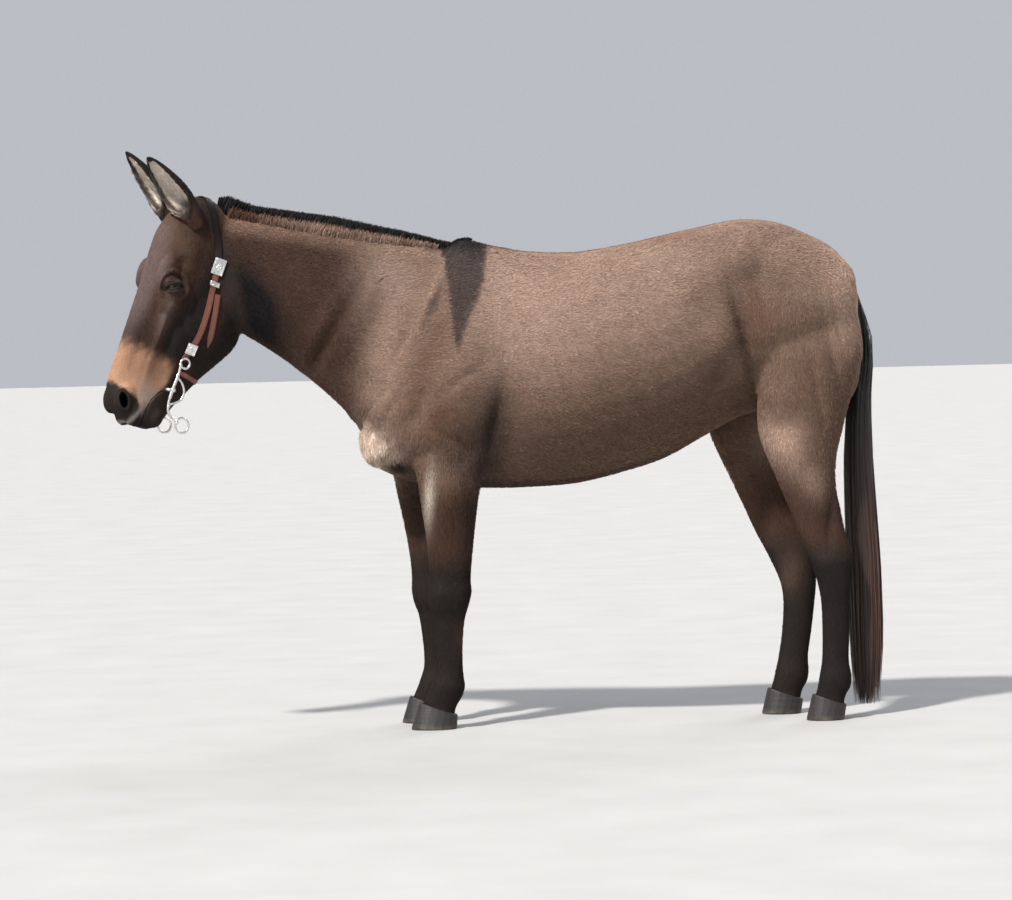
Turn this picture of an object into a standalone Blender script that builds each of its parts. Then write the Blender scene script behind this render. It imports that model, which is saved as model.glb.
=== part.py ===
"""A standing mule, life size, as a still museum model.

Metres, +Z up. The mule faces -X and its left side is at -Y. The origin is on the floor under the middle of the
model's box. Trunk, neck, head and legs are lofted from named sections, fused with a few rounded masses, smoothed,
raised and sunk softly where muscles lie, and parted with thin cuts. Ears, eyes, hooves and tail are shaped apart and
seated in the flesh. The clipped mane is fused to the neck. The bridle lies in shallow beds on the head.
"""

import math
import random

import bmesh
import bpy
import numpy
from mathutils import Matrix, Vector
from mathutils.bvhtree import BVHTree

# Driving sizes
GAP = 0.0003  # air kept between two nodes that touch
SHARP_EDGE = math.radians(45)  # edges bent further than this look sharp
LEFT, RIGHT = -1, 1  # the sign of Y on each side
SIDES = (("left", LEFT), ("right", RIGHT))
HEAD_PIVOT = Vector((-0.830, -0.030, 0.0))  # the head turns about this upright line
HEAD_YAW = math.radians(31)  # turned towards the left side
POLL = (-0.060, 1.575)  # x and z of the poll before the turn
FACE_PITCH = math.radians(70)  # the face line's fall below the level
FLESH_VOXEL = 0.0085
FLESH_FACES = 5000
FINE_FAVOUR = 0.0006  # how much the thinning spares the head and the lower legs

# Each trunk section: x, top z, bottom z, half width, where the widest point lies (0 top, 1 bottom), fullness above
# and below it (2 is an ellipse, less is peaked, more is square).
TRUNK = (
    (-0.392, 0.935, 0.825, 0.060, 0.50, 2.0, 2.0),
    (-0.355, 1.060, 0.784, 0.120, 0.55, 2.0, 2.0),
    (-0.290, 1.200, 0.750, 0.165, 0.60, 2.0, 2.1),
    (-0.200, 1.340, 0.722, 0.188, 0.60, 1.8, 2.1),
    (-0.100, 1.458, 0.712, 0.202, 0.62, 1.5, 2.1),
    (0.010, 1.441, 0.708, 0.222, 0.60, 1.6, 2.2),
    (0.110, 1.421, 0.709, 0.246, 0.58, 1.8, 2.2),
    (0.250, 1.413, 0.717, 0.268, 0.56, 1.9, 2.1),
    (0.400, 1.432, 0.750, 0.276, 0.56, 2.0, 2.0),
    (0.520, 1.456, 0.788, 0.270, 0.54, 2.1, 2.0),
    (0.640, 1.480, 0.852, 0.255, 0.50, 2.1, 2.0),
    (0.750, 1.498, 0.908, 0.240, 0.48, 2.1, 2.0),
    (0.860, 1.488, 0.930, 0.228, 0.48, 2.1, 2.0),
    (0.960, 1.448, 0.960, 0.205, 0.48, 2.0, 2.0),
    (1.040, 1.400, 1.010, 0.160, 0.48, 1.9, 2.0),
    (1.095, 1.320, 1.090, 0.100, 0.48, 1.9, 2.0),
)

# Each neck section: crest x and z, throat x and z, y of its middle, half width, widest point, fullness at the crest
# and at the throat.
NECK = (
    (-0.010, 1.350, -0.220, 0.900, 0.000, 0.150, 0.62, 1.6, 2.0),
    (-0.130, 1.440, -0.380, 0.880, 0.000, 0.150, 0.66, 1.5, 2.0),
    (-0.260, 1.460, -0.442, 0.952, 0.000, 0.126, 0.64, 1.5, 2.0),
    (-0.410, 1.486, -0.512, 1.020, 0.000, 0.106, 0.60, 1.5, 2.0),
    (-0.560, 1.517, -0.598, 1.092, -0.002, 0.094, 0.56, 1.5, 2.1),
    (-0.690, 1.540, -0.682, 1.152, -0.008, 0.090, 0.52, 1.6, 2.1),
    (-0.790, 1.552, -0.750, 1.195, -0.020, 0.086, 0.50, 1.7, 2.1),
    (-0.860, 1.530, -0.815, 1.260, -0.036, 0.070, 0.50, 1.8, 2.1),
)

# Each front leg section: height, front x, rear x, y from the middle, half width, fullness.
FRONT_LEG = (
    (0.860, -0.262, -0.040, 0.118, 0.062, 2.0),
    (0.760, -0.232, -0.030, 0.126, 0.066, 2.0),
    (0.680, -0.220, -0.044, 0.134, 0.062, 2.1),
    (0.600, -0.209, -0.056, 0.134, 0.056, 2.1),
    (0.520, -0.201, -0.066, 0.131, 0.047, 2.1),
    (0.450, -0.199, -0.073, 0.128, 0.041, 2.2),
    (0.405, -0.203, -0.072, 0.127, 0.045, 2.4),
    (0.365, -0.200, -0.082, 0.126, 0.043, 2.4),
    (0.325, -0.189, -0.094, 0.125, 0.034, 2.2),
    (0.250, -0.184, -0.102, 0.123, 0.029, 2.2),
    (0.175, -0.186, -0.103, 0.121, 0.030, 2.2),
    (0.130, -0.202, -0.098, 0.120, 0.038, 2.2),
    (0.098, -0.217, -0.106, 0.119, 0.036, 2.2),
    (0.068, -0.232, -0.124, 0.118, 0.034, 2.2),
    (0.030, -0.248, -0.136, 0.118, 0.044, 2.2),
)
FRONT_LEAN = {LEFT: (0.0, 0.0), RIGHT: (-0.028, -0.066)}  # x at the floor, and more for each metre up

# Hind leg sections, the same way. The right one is drawn forward, so it has its own.
HIND_LEG = {
    LEFT: (
        (1.200, 0.820, 1.100, 0.120, 0.095, 2.0),
        (1.090, 0.790, 1.108, 0.142, 0.098, 2.0),
        (1.000, 0.786, 1.080, 0.152, 0.094, 2.0),
        (0.930, 0.785, 1.060, 0.158, 0.086, 2.0),
        (0.860, 0.787, 1.040, 0.160, 0.078, 2.1),
        (0.790, 0.810, 1.022, 0.158, 0.070, 2.1),
        (0.710, 0.843, 1.018, 0.152, 0.060, 2.1),
        (0.630, 0.876, 1.030, 0.144, 0.050, 2.0),
        (0.560, 0.903, 1.044, 0.138, 0.042, 2.0),
        (0.505, 0.925, 1.060, 0.135, 0.042, 2.1),
        (0.455, 0.942, 1.064, 0.133, 0.046, 2.3),
        (0.400, 0.957, 1.058, 0.131, 0.041, 2.3),
        (0.340, 0.965, 1.053, 0.129, 0.033, 2.2),
        (0.250, 0.966, 1.049, 0.127, 0.030, 2.2),
        (0.175, 0.963, 1.046, 0.125, 0.031, 2.2),
        (0.132, 0.955, 1.053, 0.124, 0.038, 2.2),
        (0.100, 0.949, 1.050, 0.123, 0.037, 2.2),
        (0.070, 0.940, 1.034, 0.122, 0.034, 2.2),
        (0.030, 0.926, 1.026, 0.122, 0.043, 2.2),
    ),
    RIGHT: (
        (1.200, 0.790, 1.085, 0.120, 0.095, 2.0),
        (1.090, 0.715, 1.070, 0.142, 0.098, 2.0),
        (1.000, 0.675, 1.020, 0.152, 0.094, 2.0),
        (0.930, 0.655, 0.965, 0.158, 0.086, 2.0),
        (0.860, 0.655, 0.925, 0.160, 0.078, 2.1),
        (0.790, 0.682, 0.900, 0.158, 0.070, 2.1),
        (0.710, 0.720, 0.893, 0.152, 0.060, 2.1),
        (0.630, 0.755, 0.908, 0.144, 0.050, 2.0),
        (0.560, 0.785, 0.930, 0.138, 0.042, 2.0),
        (0.505, 0.813, 0.955, 0.135, 0.042, 2.1),
        (0.455, 0.838, 0.970, 0.133, 0.046, 2.3),
        (0.400, 0.860, 0.972, 0.131, 0.041, 2.3),
        (0.340, 0.868, 0.966, 0.129, 0.033, 2.2),
        (0.250, 0.862, 0.954, 0.127, 0.030, 2.2),
        (0.175, 0.850, 0.942, 0.125, 0.031, 2.2),
        (0.132, 0.840, 0.943, 0.124, 0.038, 2.2),
        (0.100, 0.832, 0.938, 0.123, 0.037, 2.2),
        (0.070, 0.822, 0.922, 0.122, 0.034, 2.2),
        (0.030, 0.806, 0.912, 0.122, 0.043, 2.2),
    ),
}

# Masses that stand out from the lofts, on both sides: middle, half sizes, lean about Y in degrees.
MASSES = (
    ((-0.330, 0.066, 0.872), (0.070, 0.066, 0.095), 12),  # breast
    ((-0.190, 0.120, 0.880), (0.130, 0.070, 0.090), 24),  # upper arm
    ((0.900, 0.120, 1.250), (0.200, 0.130, 0.190), 10),  # croup
    ((1.030, 0.092, 1.130), (0.072, 0.082, 0.190), -6),  # buttock
)

# Soft muscles, bones and hollows, on both sides: middle, reach, lean in degrees, how far the skin rises.
SWELLS = (
    ((-0.215, 0.190, 1.180), (0.045, 0.12, 0.250), 28, 0.013),  # ridge of the shoulder blade
    ((-0.345, 0.150, 0.960), (0.070, 0.09, 0.080), 20, 0.020),  # point of the shoulder
    ((-0.110, 0.190, 0.970), (0.110, 0.12, 0.120), -25, 0.022),  # triceps
    ((-0.010, 0.220, 1.120), (0.050, 0.12, 0.260), 14, -0.012),  # hollow behind the shoulder
    ((-0.330, 0.130, 1.240), (0.050, 0.12, 0.200), 28, -0.014),  # dip before the shoulder
    ((-0.215, 0.190, 0.960), (0.030, 0.10, 0.110), 26, -0.010),  # line above the upper arm
    ((-0.052, 0.150, 0.800), (0.040, 0.06, 0.050), 0, 0.012),  # elbow
    ((-0.500, 0.100, 1.200), (0.300, 0.08, 0.040), -58, 0.008),  # neck muscle down to the shoulder
    ((-0.520, 0.090, 1.110), (0.260, 0.06, 0.030), -58, -0.010),  # groove of the vein
    ((0.735, 0.215, 1.370), (0.070, 0.09, 0.055), 0, 0.022),  # point of the hip
    ((0.640, 0.240, 1.240), (0.085, 0.12, 0.110), 0, -0.020),  # hollow of the flank
    ((0.690, 0.240, 1.030), (0.050, 0.10, 0.130), 24, -0.012),  # fold before the thigh
    ((0.880, 0.240, 1.160), (0.130, 0.12, 0.170), 0, 0.016),  # thigh
    ((1.010, 0.180, 1.080), (0.022, 0.10, 0.170), -12, -0.010),  # line down the back of the thigh
    ((0.330, 0.270, 0.960), (0.300, 0.12, 0.160), 0, 0.008),  # belly's side
    ((1.080, 0.050, 1.340), (0.050, 0.04, 0.050), 0, 0.010),  # seat bone
)
HIND_SWELLS = (  # height up the hind leg, share across it, y, reach, lean, rise
    (0.960, 0.22, 0.230, (0.060, 0.08, 0.070), 0, 0.016),  # stifle
    (0.760, 0.34, 0.215, (0.050, 0.07, 0.110), 14, 0.012),  # gaskin
    (0.600, 0.74, 0.175, (0.020, 0.06, 0.100), 6, -0.008),  # hollow before the hamstring
    (0.470, 0.30, 0.175, (0.034, 0.05, 0.035), 0, 0.005),  # hock joint
)
FRONT_SWELLS = (  # the same on the front leg
    (0.670, 0.42, 0.190, (0.048, 0.06, 0.110), 4, 0.012),  # forearm
    (0.400, 0.30, 0.165, (0.034, 0.05, 0.034), 0, 0.005),  # knee
)

# Cuts between the nodes: a place on the cut, its normal, width and depth
HEAD_CUT_TURN = math.radians(12)
HEAD_CUT = ((-0.785, -0.010, 1.385), (math.cos(HEAD_CUT_TURN), math.sin(HEAD_CUT_TURN), 0.185), 0.40, 0.62)
NECK_CUT = ((-0.310, 0.0, 1.215), (0.872, 0.0, -0.489), 0.70, 0.70)
FRONT_LEG_CUT = ((-0.170, 0.150, 0.690), 0.42, 0.29)  # level, on both sides
HIND_LEG_CUT = ((0.880, 0.152, 0.862), 0.54, 0.29)
HAIR_LINE_CUT = (0.16, 0.20)
NECK_PLACE, TORSO_PLACE = Vector((-0.55, 0, 1.30)), Vector((0.40, 0, 1.10))  # each in its node
LEG_PLACE_RISE = 0.03  # above the hair line, in the leg

# Each head section: distance along the face, depths of the face line and the jaw line, half widths of the face and
# of the jaw, fullness.
HEAD = (
    (-0.036, 0.012, 0.066, 0.024, 0.024, 2.0),
    (-0.024, -0.010, 0.092, 0.044, 0.042, 2.1),
    (0.000, -0.034, 0.118, 0.060, 0.054, 2.2),
    (0.035, -0.056, 0.140, 0.070, 0.062, 2.3),
    (0.100, -0.078, 0.176, 0.080, 0.066, 2.5),
    (0.170, -0.081, 0.216, 0.089, 0.068, 2.6),
    (0.240, -0.081, 0.252, 0.087, 0.070, 2.6),
    (0.300, -0.085, 0.270, 0.074, 0.068, 2.6),
    (0.360, -0.089, 0.266, 0.064, 0.060, 2.6),
    (0.420, -0.092, 0.230, 0.056, 0.050, 2.5),
    (0.480, -0.095, 0.189, 0.050, 0.042, 2.4),
    (0.540, -0.098, 0.155, 0.049, 0.038, 2.4),
    (0.590, -0.096, 0.128, 0.052, 0.038, 2.3),
    (0.628, -0.082, 0.112, 0.053, 0.038, 2.3),
    (0.658, -0.052, 0.094, 0.047, 0.035, 2.2),
    (0.680, -0.014, 0.068, 0.034, 0.026, 2.1),
)
HEAD_MASSES = (  # middle in face measures, half sizes; on both sides
    ((0.226, -0.044, 0.071), (0.056, 0.032, 0.026)),  # brow
    ((0.300, -0.008, 0.062), (0.040, 0.036, 0.024)),  # bone under the eye
    ((0.290, 0.125, 0.046), (0.115, 0.105, 0.034)),  # cheek
    ((0.618, -0.046, 0.040), (0.046, 0.032, 0.018)),  # nostril rim
    ((0.640, -0.002, 0.028), (0.050, 0.034, 0.026)),  # upper lip
    ((0.636, 0.070, 0.016), (0.038, 0.032, 0.028)),  # lower lip and chin
)
HEAD_SWELLS = (  # middle in face measures, reach, rise; on both sides
    ((0.150, 0.010, 0.080), (0.050, 0.034, 0.06), 0.006),  # temple
    ((0.182, -0.006, 0.084), (0.030, 0.022, 0.05), -0.007),  # hollow above the eye
    ((0.400, -0.004, 0.056), (0.130, 0.014, 0.05), 0.008),  # facial crest
    ((0.400, 0.036, 0.056), (0.100, 0.024, 0.05), -0.007),  # below the facial crest
    ((0.450, -0.050, 0.050), (0.090, 0.024, 0.04), -0.005),  # side of the nose
    ((0.545, 0.070, 0.050), (0.030, 0.030, 0.04), 0.004),  # corner of the lips
    ((0.480, 0.110, 0.050), (0.090, 0.026, 0.05), -0.005),  # between the jaw's bars
)

# Eyes
EYE = (0.262, -0.014, 0.077)  # middle of the ball, in face measures
EYE_RADIUS = 0.0225
LID = 0.0035  # thickness of the lids over the ball
EYE_LENGTH, EYE_HEIGHT = 0.046, 0.024  # of the opening between the lids
EYE_TILT = math.radians(24)  # the opening's slant to the face line's upright
EYE_FORWARD = 0.30  # how far the eye looks forward, against outward

# Nostrils and mouth
NOSTRIL = (0.626, -0.050, 0.050)
NOSTRIL_HALF = (0.030, 0.016, 0.026)
NOSTRIL_TURN = math.radians(32)
MOUTH_LINE = ((0.553, 0.068), (0.569, 0.053), (0.602, 0.034), (0.642, 0.027), (0.672, 0.029))
MOUTH_DEPTH, MOUTH_GAPE = 0.012, 0.0024

# Ears, with the head before its turn: x, y, z of the root and the tip
EARS = {
    LEFT: (Vector((-0.093, 0.062, 1.536)), Vector((-0.234, 0.072, 1.716)), math.radians(20)),
    RIGHT: (Vector((-0.108, 0.054, 1.545)), Vector((-0.232, 0.076, 1.738)), math.radians(0)),
}  # root, tip and how far outward the cup opens
EAR_SECTIONS = (  # share of the length, half width, depth behind and before the middle
    (-0.16, 0.028, 0.034, 0.018),
    (0.00, 0.036, 0.044, 0.022),
    (0.12, 0.041, 0.047, 0.021),
    (0.30, 0.044, 0.044, 0.016),
    (0.50, 0.041, 0.036, 0.012),
    (0.70, 0.033, 0.026, 0.010),
    (0.86, 0.023, 0.016, 0.008),
    (0.95, 0.014, 0.010, 0.006),
    (1.00, 0.006, 0.005, 0.003),
)
EAR_BOW = 0.10  # how far the ear bends back, against its length
EAR_CUP = (  # the hollow, the same way
    (0.03, 0.008, 0.008, 0.004),
    (0.10, 0.022, 0.026, 0.018),
    (0.18, 0.033, 0.038, 0.030),
    (0.32, 0.039, 0.039, 0.034),
    (0.50, 0.036, 0.031, 0.030),
    (0.70, 0.028, 0.021, 0.026),
    (0.86, 0.018, 0.011, 0.020),
    (0.94, 0.009, 0.005, 0.012),
)

# Hooves
CORONET = 0.062  # height of the hair line at the middle of the foot
CORONET_SLOPE = math.radians(19)  # it falls towards the heel
HOOF_LIP = 0.003
HOOVES = {  # how far the sole reaches before and behind the hair line's ends, and its half width
    "front": (0.026, -0.004, 0.054),
    "hind": (0.020, -0.008, 0.050),
}

# Tail: x, z, half depth and half width of its core, from the root down
TAIL = (
    (1.060, 1.330, 0.022, 0.020),
    (1.100, 1.275, 0.022, 0.022),
    (1.122, 1.200, 0.022, 0.026),
    (1.124, 1.100, 0.022, 0.032),
    (1.118, 0.980, 0.024, 0.038),
    (1.114, 0.860, 0.024, 0.040),
    (1.112, 0.740, 0.022, 0.038),
    (1.112, 0.640, 0.012, 0.024),
)
TAIL_LOCKS = 26
TAIL_REACH = ((1.135, 0.95), (1.139, 0.77), (1.150, 0.585), (1.156, 0.465), (1.161, 0.285), (1.150, 0.12))

# Mane: x and z of its top line
MANE_TOP = (
    (-0.790, 1.600), (-0.710, 1.574), (-0.591, 1.552), (-0.471, 1.533), (-0.352, 1.505), (-0.233, 1.482),
    (-0.218, 1.478),
)
MANE_STEP, MANE_THICKNESS = 0.0153, 0.014
BLUNT = 4.0  # the mane's tufts keep their width almost to the top

# Bridle, in face measures
CROWN_MIDDLE = (0.060, 0.076)  # the crown strap runs round this point
CROWN_END = ((0.105, 0.092), (0.158, 0.104))
CHEEK_LINE = ((0.172, 0.106), (0.215, 0.109), (0.300, 0.113), (0.397, 0.113), (0.452, 0.099))
BILLET_LINE = ((0.236, 0.131), (0.310, 0.141), (0.392, 0.156))
CURB_MIDDLE = (0.490, 0.100)  # the curb strap runs round this point
CROWN_WIDTH, CHEEK_WIDTH, CURB_WIDTH = 0.024, 0.019, 0.015
STRAP_RISE, STRAP_BED = 0.0026, 0.0018
BUCKLE_SUNK = 0.0006  # how deep a buckle sits in the strap
BUCKLES = (  # name, middle, length, width, thickness
    ("upper_buckle", (0.157, 0.106), 0.050, 0.036, 0.005),
    ("keeper", (0.210, 0.110), 0.016, 0.034, 0.004),
    ("lower_buckle", (0.414, 0.109), 0.034, 0.034, 0.005),
)
WIRE = 0.0045  # radius of the bit's rods
BIT_OUT = 0.058  # the bit's cheeks hang this far from the head's middle
HOOK, HOOK_RADIUS = (0.462, 0.101), 0.015
REIN_RING, REIN_RING_RADIUS = (0.640, 0.148), 0.022
SHANK = ((0.470, 0.088), (0.500, 0.090), (0.545, 0.086), (0.590, 0.085), (0.620, 0.096), (0.637, 0.130))
LOOP = ((0.508, 0.089), (0.522, 0.110), (0.545, 0.124), (0.570, 0.120), (0.588, 0.098), (0.592, 0.088))

MOUTHPIECE = ((0.548, 0.087, 0.0), (0.551, 0.076, 0.006), (0.554, 0.068, 0.022))  # the last measure goes inward


def remove_all_objects():
    """Empties the scene."""
    for obj in list(bpy.data.objects):
        bpy.data.objects.remove(obj, do_unlink=True)


def collection(name):
    """A collection linked to the scene."""
    found = bpy.data.collections.new(name)
    bpy.context.scene.collection.children.link(found)
    return found


def material(name, colour, roughness, metallic=0.0):
    """A plain finish with the colour of the real thing."""
    made = bpy.data.materials.new(name)
    made.use_nodes = True
    shader = made.node_tree.nodes["Principled BSDF"]
    shader.inputs["Base Color"].default_value = (*colour, 1.0)
    shader.inputs["Roughness"].default_value = roughness
    shader.inputs["Metallic"].default_value = metallic
    made.diffuse_color = (*colour, 1.0)
    return made


def finished(obj, finish):
    """The object with one finish, shaded smooth between its edges."""
    obj.data.materials.clear()
    obj.data.materials.append(finish)
    for polygon in obj.data.polygons:
        polygon.use_smooth = True
    obj.data.set_sharp_from_angle(angle=SHARP_EDGE)
    return obj


def add_object(name, mesh, holder="mule"):
    """An object in a named collection."""
    obj = bpy.data.objects.new(name, mesh)
    bpy.data.collections[holder].objects.link(obj)
    return obj


def mesh_from(bm, name):
    """A mesh from a bmesh, its faces turned outwards."""
    bmesh.ops.recalc_face_normals(bm, faces=bm.faces)
    mesh = bpy.data.meshes.new(name)
    bm.to_mesh(mesh)
    bm.free()
    return mesh


def helper(bm, name="cutter"):
    """A piece that only cuts or joins others."""
    obj = add_object(name, mesh_from(bm, name), "cutters")
    obj.hide_render = True
    obj.display_type = "WIRE"
    return obj


def modified(obj, kind, **settings):
    """The object with one modifier applied."""
    modifier = obj.modifiers.new(kind.title(), kind)
    for key, value in settings.items():
        setattr(modifier, key, value)
    graph = bpy.context.evaluated_depsgraph_get()
    old = obj.data
    obj.data = bpy.data.meshes.new_from_object(obj.evaluated_get(graph))
    obj.modifiers.clear()
    if old.users == 0:
        bpy.data.meshes.remove(old)
    return obj


def cut(obj, cutter, solver="EXACT"):
    """One solid cut by a helper, which goes."""
    modified(obj, "BOOLEAN", operation="DIFFERENCE", object=cutter, solver=solver)
    bpy.data.objects.remove(cutter, do_unlink=True)
    return obj


def power(value, exponent):
    """A signed power, for sections fuller or more peaked than an ellipse."""
    return math.copysign(abs(value) ** exponent, value)


def smooth_rows(rows, steps):
    """Rows of sizes with others between them, on a curve through them all."""
    made = []
    for i in range(len(rows) - 1):
        before, start, end, after = rows[max(i - 1, 0)], rows[i], rows[i + 1], rows[min(i + 2, len(rows) - 1)]
        for k in range(steps):
            t = k / steps
            made.append(tuple(
                0.5 * (2 * b + (c - a) * t + (2 * a - 5 * b + 4 * c - d) * t * t + (3 * b - a - 3 * c + d) * t ** 3)
                for a, b, c, d in zip(before, start, end, after)
            ))
    made.append(tuple(rows[-1]))
    return made


def row_at(rows, key, column=0):
    """A row read between two others, at a value of one column."""
    for first, second in zip(rows, rows[1:]):
        low, high = sorted((first[column], second[column]))
        if low <= key <= high:
            t = (key - first[column]) / (second[column] - first[column])
            return tuple(p + (q - p) * t for p, q in zip(first, second))
    return rows[0] if abs(key - rows[0][column]) < abs(key - rows[-1][column]) else rows[-1]


def add_loft(bm, rings):
    """A closed skin through rings of points, with a fan on each end."""
    loops = [[bm.verts.new(point) for point in ring] for ring in rings]
    count = len(loops[0])
    for lower, upper in zip(loops, loops[1:]):
        for i in range(count):
            j = (i + 1) % count
            bm.faces.new((lower[i], lower[j], upper[j], upper[i]))
    for loop in (loops[0], loops[-1]):
        middle = bm.verts.new(sum((v.co for v in loop), Vector()) / count)
        for i in range(count):
            bm.faces.new((loop[i], loop[(i + 1) % count], middle))


def section(high, low, half_width, widest, full_high, full_low, count=28):
    """A section from one point to another, with its own fullness on each side of its widest part."""
    axis = low - high
    middle = high + axis * widest
    points = []
    for k in range(count):
        angle = 2 * math.pi * k / count
        along, across = math.cos(angle), math.sin(angle)
        full = full_high if along > 0 else full_low
        reach = -widest if along > 0 else 1 - widest
        side = Vector((0, half_width * power(across, 2 / full), 0))
        points.append(middle + axis * reach * abs(along) ** (2 / full) + side)
    return points


def add_mass(bm, matrix, half_sizes, segments=24):
    """A rounded mass."""
    scale = Matrix.Diagonal((*half_sizes, 1.0))
    bmesh.ops.create_uvsphere(bm, u_segments=segments, v_segments=segments // 2, radius=1.0, matrix=matrix @ scale)


def at(x, y, z, lean=0.0):
    """A place, leaning about Y by degrees, its top towards the tail."""
    return Matrix.Translation((x, y, z)) @ Matrix.Rotation(math.radians(lean), 4, "Y")


HEAD_TURN = Matrix.Translation(HEAD_PIVOT) @ Matrix.Rotation(HEAD_YAW, 4, "Z")


def face_matrix():
    """From face measures (along, behind, out to the right) to the model."""
    along = Vector((-math.cos(FACE_PITCH), 0, -math.sin(FACE_PITCH)))
    behind = Vector((math.sin(FACE_PITCH), 0, -math.cos(FACE_PITCH)))
    basis = Matrix((along, behind, Vector((0, 1, 0)))).transposed().to_4x4()
    return HEAD_TURN @ Matrix.Translation((POLL[0], 0, POLL[1])) @ basis


FACE = face_matrix()


def on_face(along, behind, across=0.0):
    """A point given in face measures."""
    return FACE @ Vector((along, behind, across))


def face_direction(along, behind, across):
    """A unit direction given in face measures."""
    return (FACE.to_3x3() @ Vector((along, behind, across))).normalized()


def front_rows(side):
    """The front leg's sections on one side, with its lean."""
    foot, rate = FRONT_LEAN[side]
    return [(z, a + foot + rate * z, b + foot + rate * z, y, w, full) for z, a, b, y, w, full in FRONT_LEG]


def leg_rings(rows, side):
    """Level sections down a leg."""
    return [
        section(Vector((a, side * y, z)), Vector((b, side * y, z)), w, 0.5, full, full, 20)
        for z, a, b, y, w, full in smooth_rows(rows, 4)
    ]


def neck_rings():
    """Sections up the neck."""
    return [
        section(Vector((cx, y, cz)), Vector((tx, y, tz)), w, widest, crest, throat)
        for cx, cz, tx, tz, y, w, widest, crest, throat in smooth_rows(NECK, 3)
    ]


def head_rings():
    """Sections down the face, each with one half width for the face and one for the jaw."""
    rings = []
    for along, face, jaw, face_width, jaw_width, full in smooth_rows(HEAD, 3):
        ring = []
        for k in range(32):
            angle = 2 * math.pi * k / 32
            up, out = power(math.cos(angle), 2 / full), power(math.sin(angle), 2 / full)
            width = face_width + (jaw_width - face_width) * (1 - up) / 2
            ring.append(on_face(along, (face + jaw) / 2 - up * (jaw - face) / 2, out * width))
        rings.append(ring)
    return rings


def raw_form():
    """All lofts and masses of the flesh, still overlapping."""
    bm = bmesh.new()
    add_loft(bm, [
        section(Vector((x, 0, top)), Vector((x, 0, low)), w, widest, above, below)
        for x, top, low, w, widest, above, below in smooth_rows(TRUNK, 3)
    ])
    add_loft(bm, neck_rings())
    add_loft(bm, head_rings())
    for _, side in SIDES:
        add_loft(bm, leg_rings(front_rows(side), side))
        add_loft(bm, leg_rings(HIND_LEG[side], side))
        for (x, y, z), sizes, lean in MASSES:
            add_mass(bm, at(x, side * y, z, lean), sizes)
        for (along, behind, out), sizes in HEAD_MASSES:
            add_mass(bm, FACE @ Matrix.Translation((along, behind, side * out)), sizes)
        add_mass(bm, eye_matrix(side), (EYE_RADIUS + LID,) * 3)
    return bm


def eye_matrix(side):
    """The eye's place: x towards the nose's side corner, y up across the lids, z out of the head."""
    out = face_direction(-0.04, -EYE_FORWARD, side)
    along = face_direction(math.sin(EYE_TILT), -math.cos(EYE_TILT), 0)
    along = (along - out * along.dot(out)).normalized()
    up = out.cross(along)
    if up.z < 0:
        up = -up
    place = Matrix((along, up, out)).transposed().to_4x4()
    place.translation = on_face(EYE[0], EYE[1], side * EYE[2])
    return place


def swell_places():
    """Each soft muscle or hollow: its matrix and how far it raises the skin."""
    for _, side in SIDES:
        for (x, y, z), reach, lean, rise in SWELLS:
            yield at(x, side * y, z, lean) @ Matrix.Diagonal((*reach, 1.0)), rise
        for rows, swells in ((HIND_LEG[side], HIND_SWELLS), (front_rows(side), FRONT_SWELLS)):
            for height, share, y, reach, lean, rise in swells:
                row = row_at(rows, height)
                x = row[1] + (row[2] - row[1]) * share
                yield at(x, side * y, height, lean) @ Matrix.Diagonal((*reach, 1.0)), rise
        for (along, behind, out), reach, rise in HEAD_SWELLS:
            yield FACE @ Matrix.Translation((along, behind, side * out)) @ Matrix.Diagonal((*reach, 1.0)), rise


def swell(mesh):
    """Raises the soft muscles and sinks the hollows."""
    points = numpy.empty(len(mesh.vertices) * 3, numpy.float32)
    normals = numpy.empty_like(points)
    mesh.vertices.foreach_get("co", points)
    mesh.vertices.foreach_get("normal", normals)
    points = points.reshape(-1, 3).astype(numpy.float64)
    rise = numpy.zeros(len(points))
    for matrix, height in swell_places():
        inverse = numpy.array(matrix.inverted())
        local = points @ inverse[:3, :3].T + inverse[:3, 3]
        rise += height * numpy.exp(-1.6 * (local**2).sum(axis=1))
    points += normals.reshape(-1, 3) * rise[:, None]
    mesh.vertices.foreach_set("co", points.astype(numpy.float32).ravel())
    mesh.update()


def softness(point):
    """How far the smoothing goes: all the way on the trunk, less on the legs and the head."""
    if point.x < -0.80 and point.z > 0.88:
        return 0.5
    return min(1.0, max(0.25, (point.z - 0.45) / 0.35))


def flesh_form(voxel, rounds, faces):
    """Trunk, neck, head and legs as one smooth skin, thinned to a number of triangles."""
    obj = add_object("flesh", mesh_from(raw_form(), "flesh"))
    modified(obj, "REMESH", mode="VOXEL", voxel_size=voxel)
    soft = obj.vertex_groups.new(name="soft")
    for vertex in obj.data.vertices:
        soft.add([vertex.index], softness(vertex.co), "REPLACE")
    modified(obj, "SMOOTH", factor=0.5, iterations=rounds, vertex_group="soft")
    swell(obj.data)
    modified(obj, "TRIANGULATE")
    spare = obj.vertex_groups.new(name="spare")
    for vertex in obj.data.vertices:
        spare.add([vertex.index], 0.5 if softness(vertex.co) < 0.9 else 1.0, "REPLACE")
    ratio = min(1.0, faces / len(obj.data.polygons))
    modified(
        obj, "DECIMATE", ratio=ratio, vertex_group="spare", vertex_group_factor=FINE_FAVOUR,
        use_collapse_triangulate=True
    )
    obj.vertex_groups.clear()
    return obj


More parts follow.
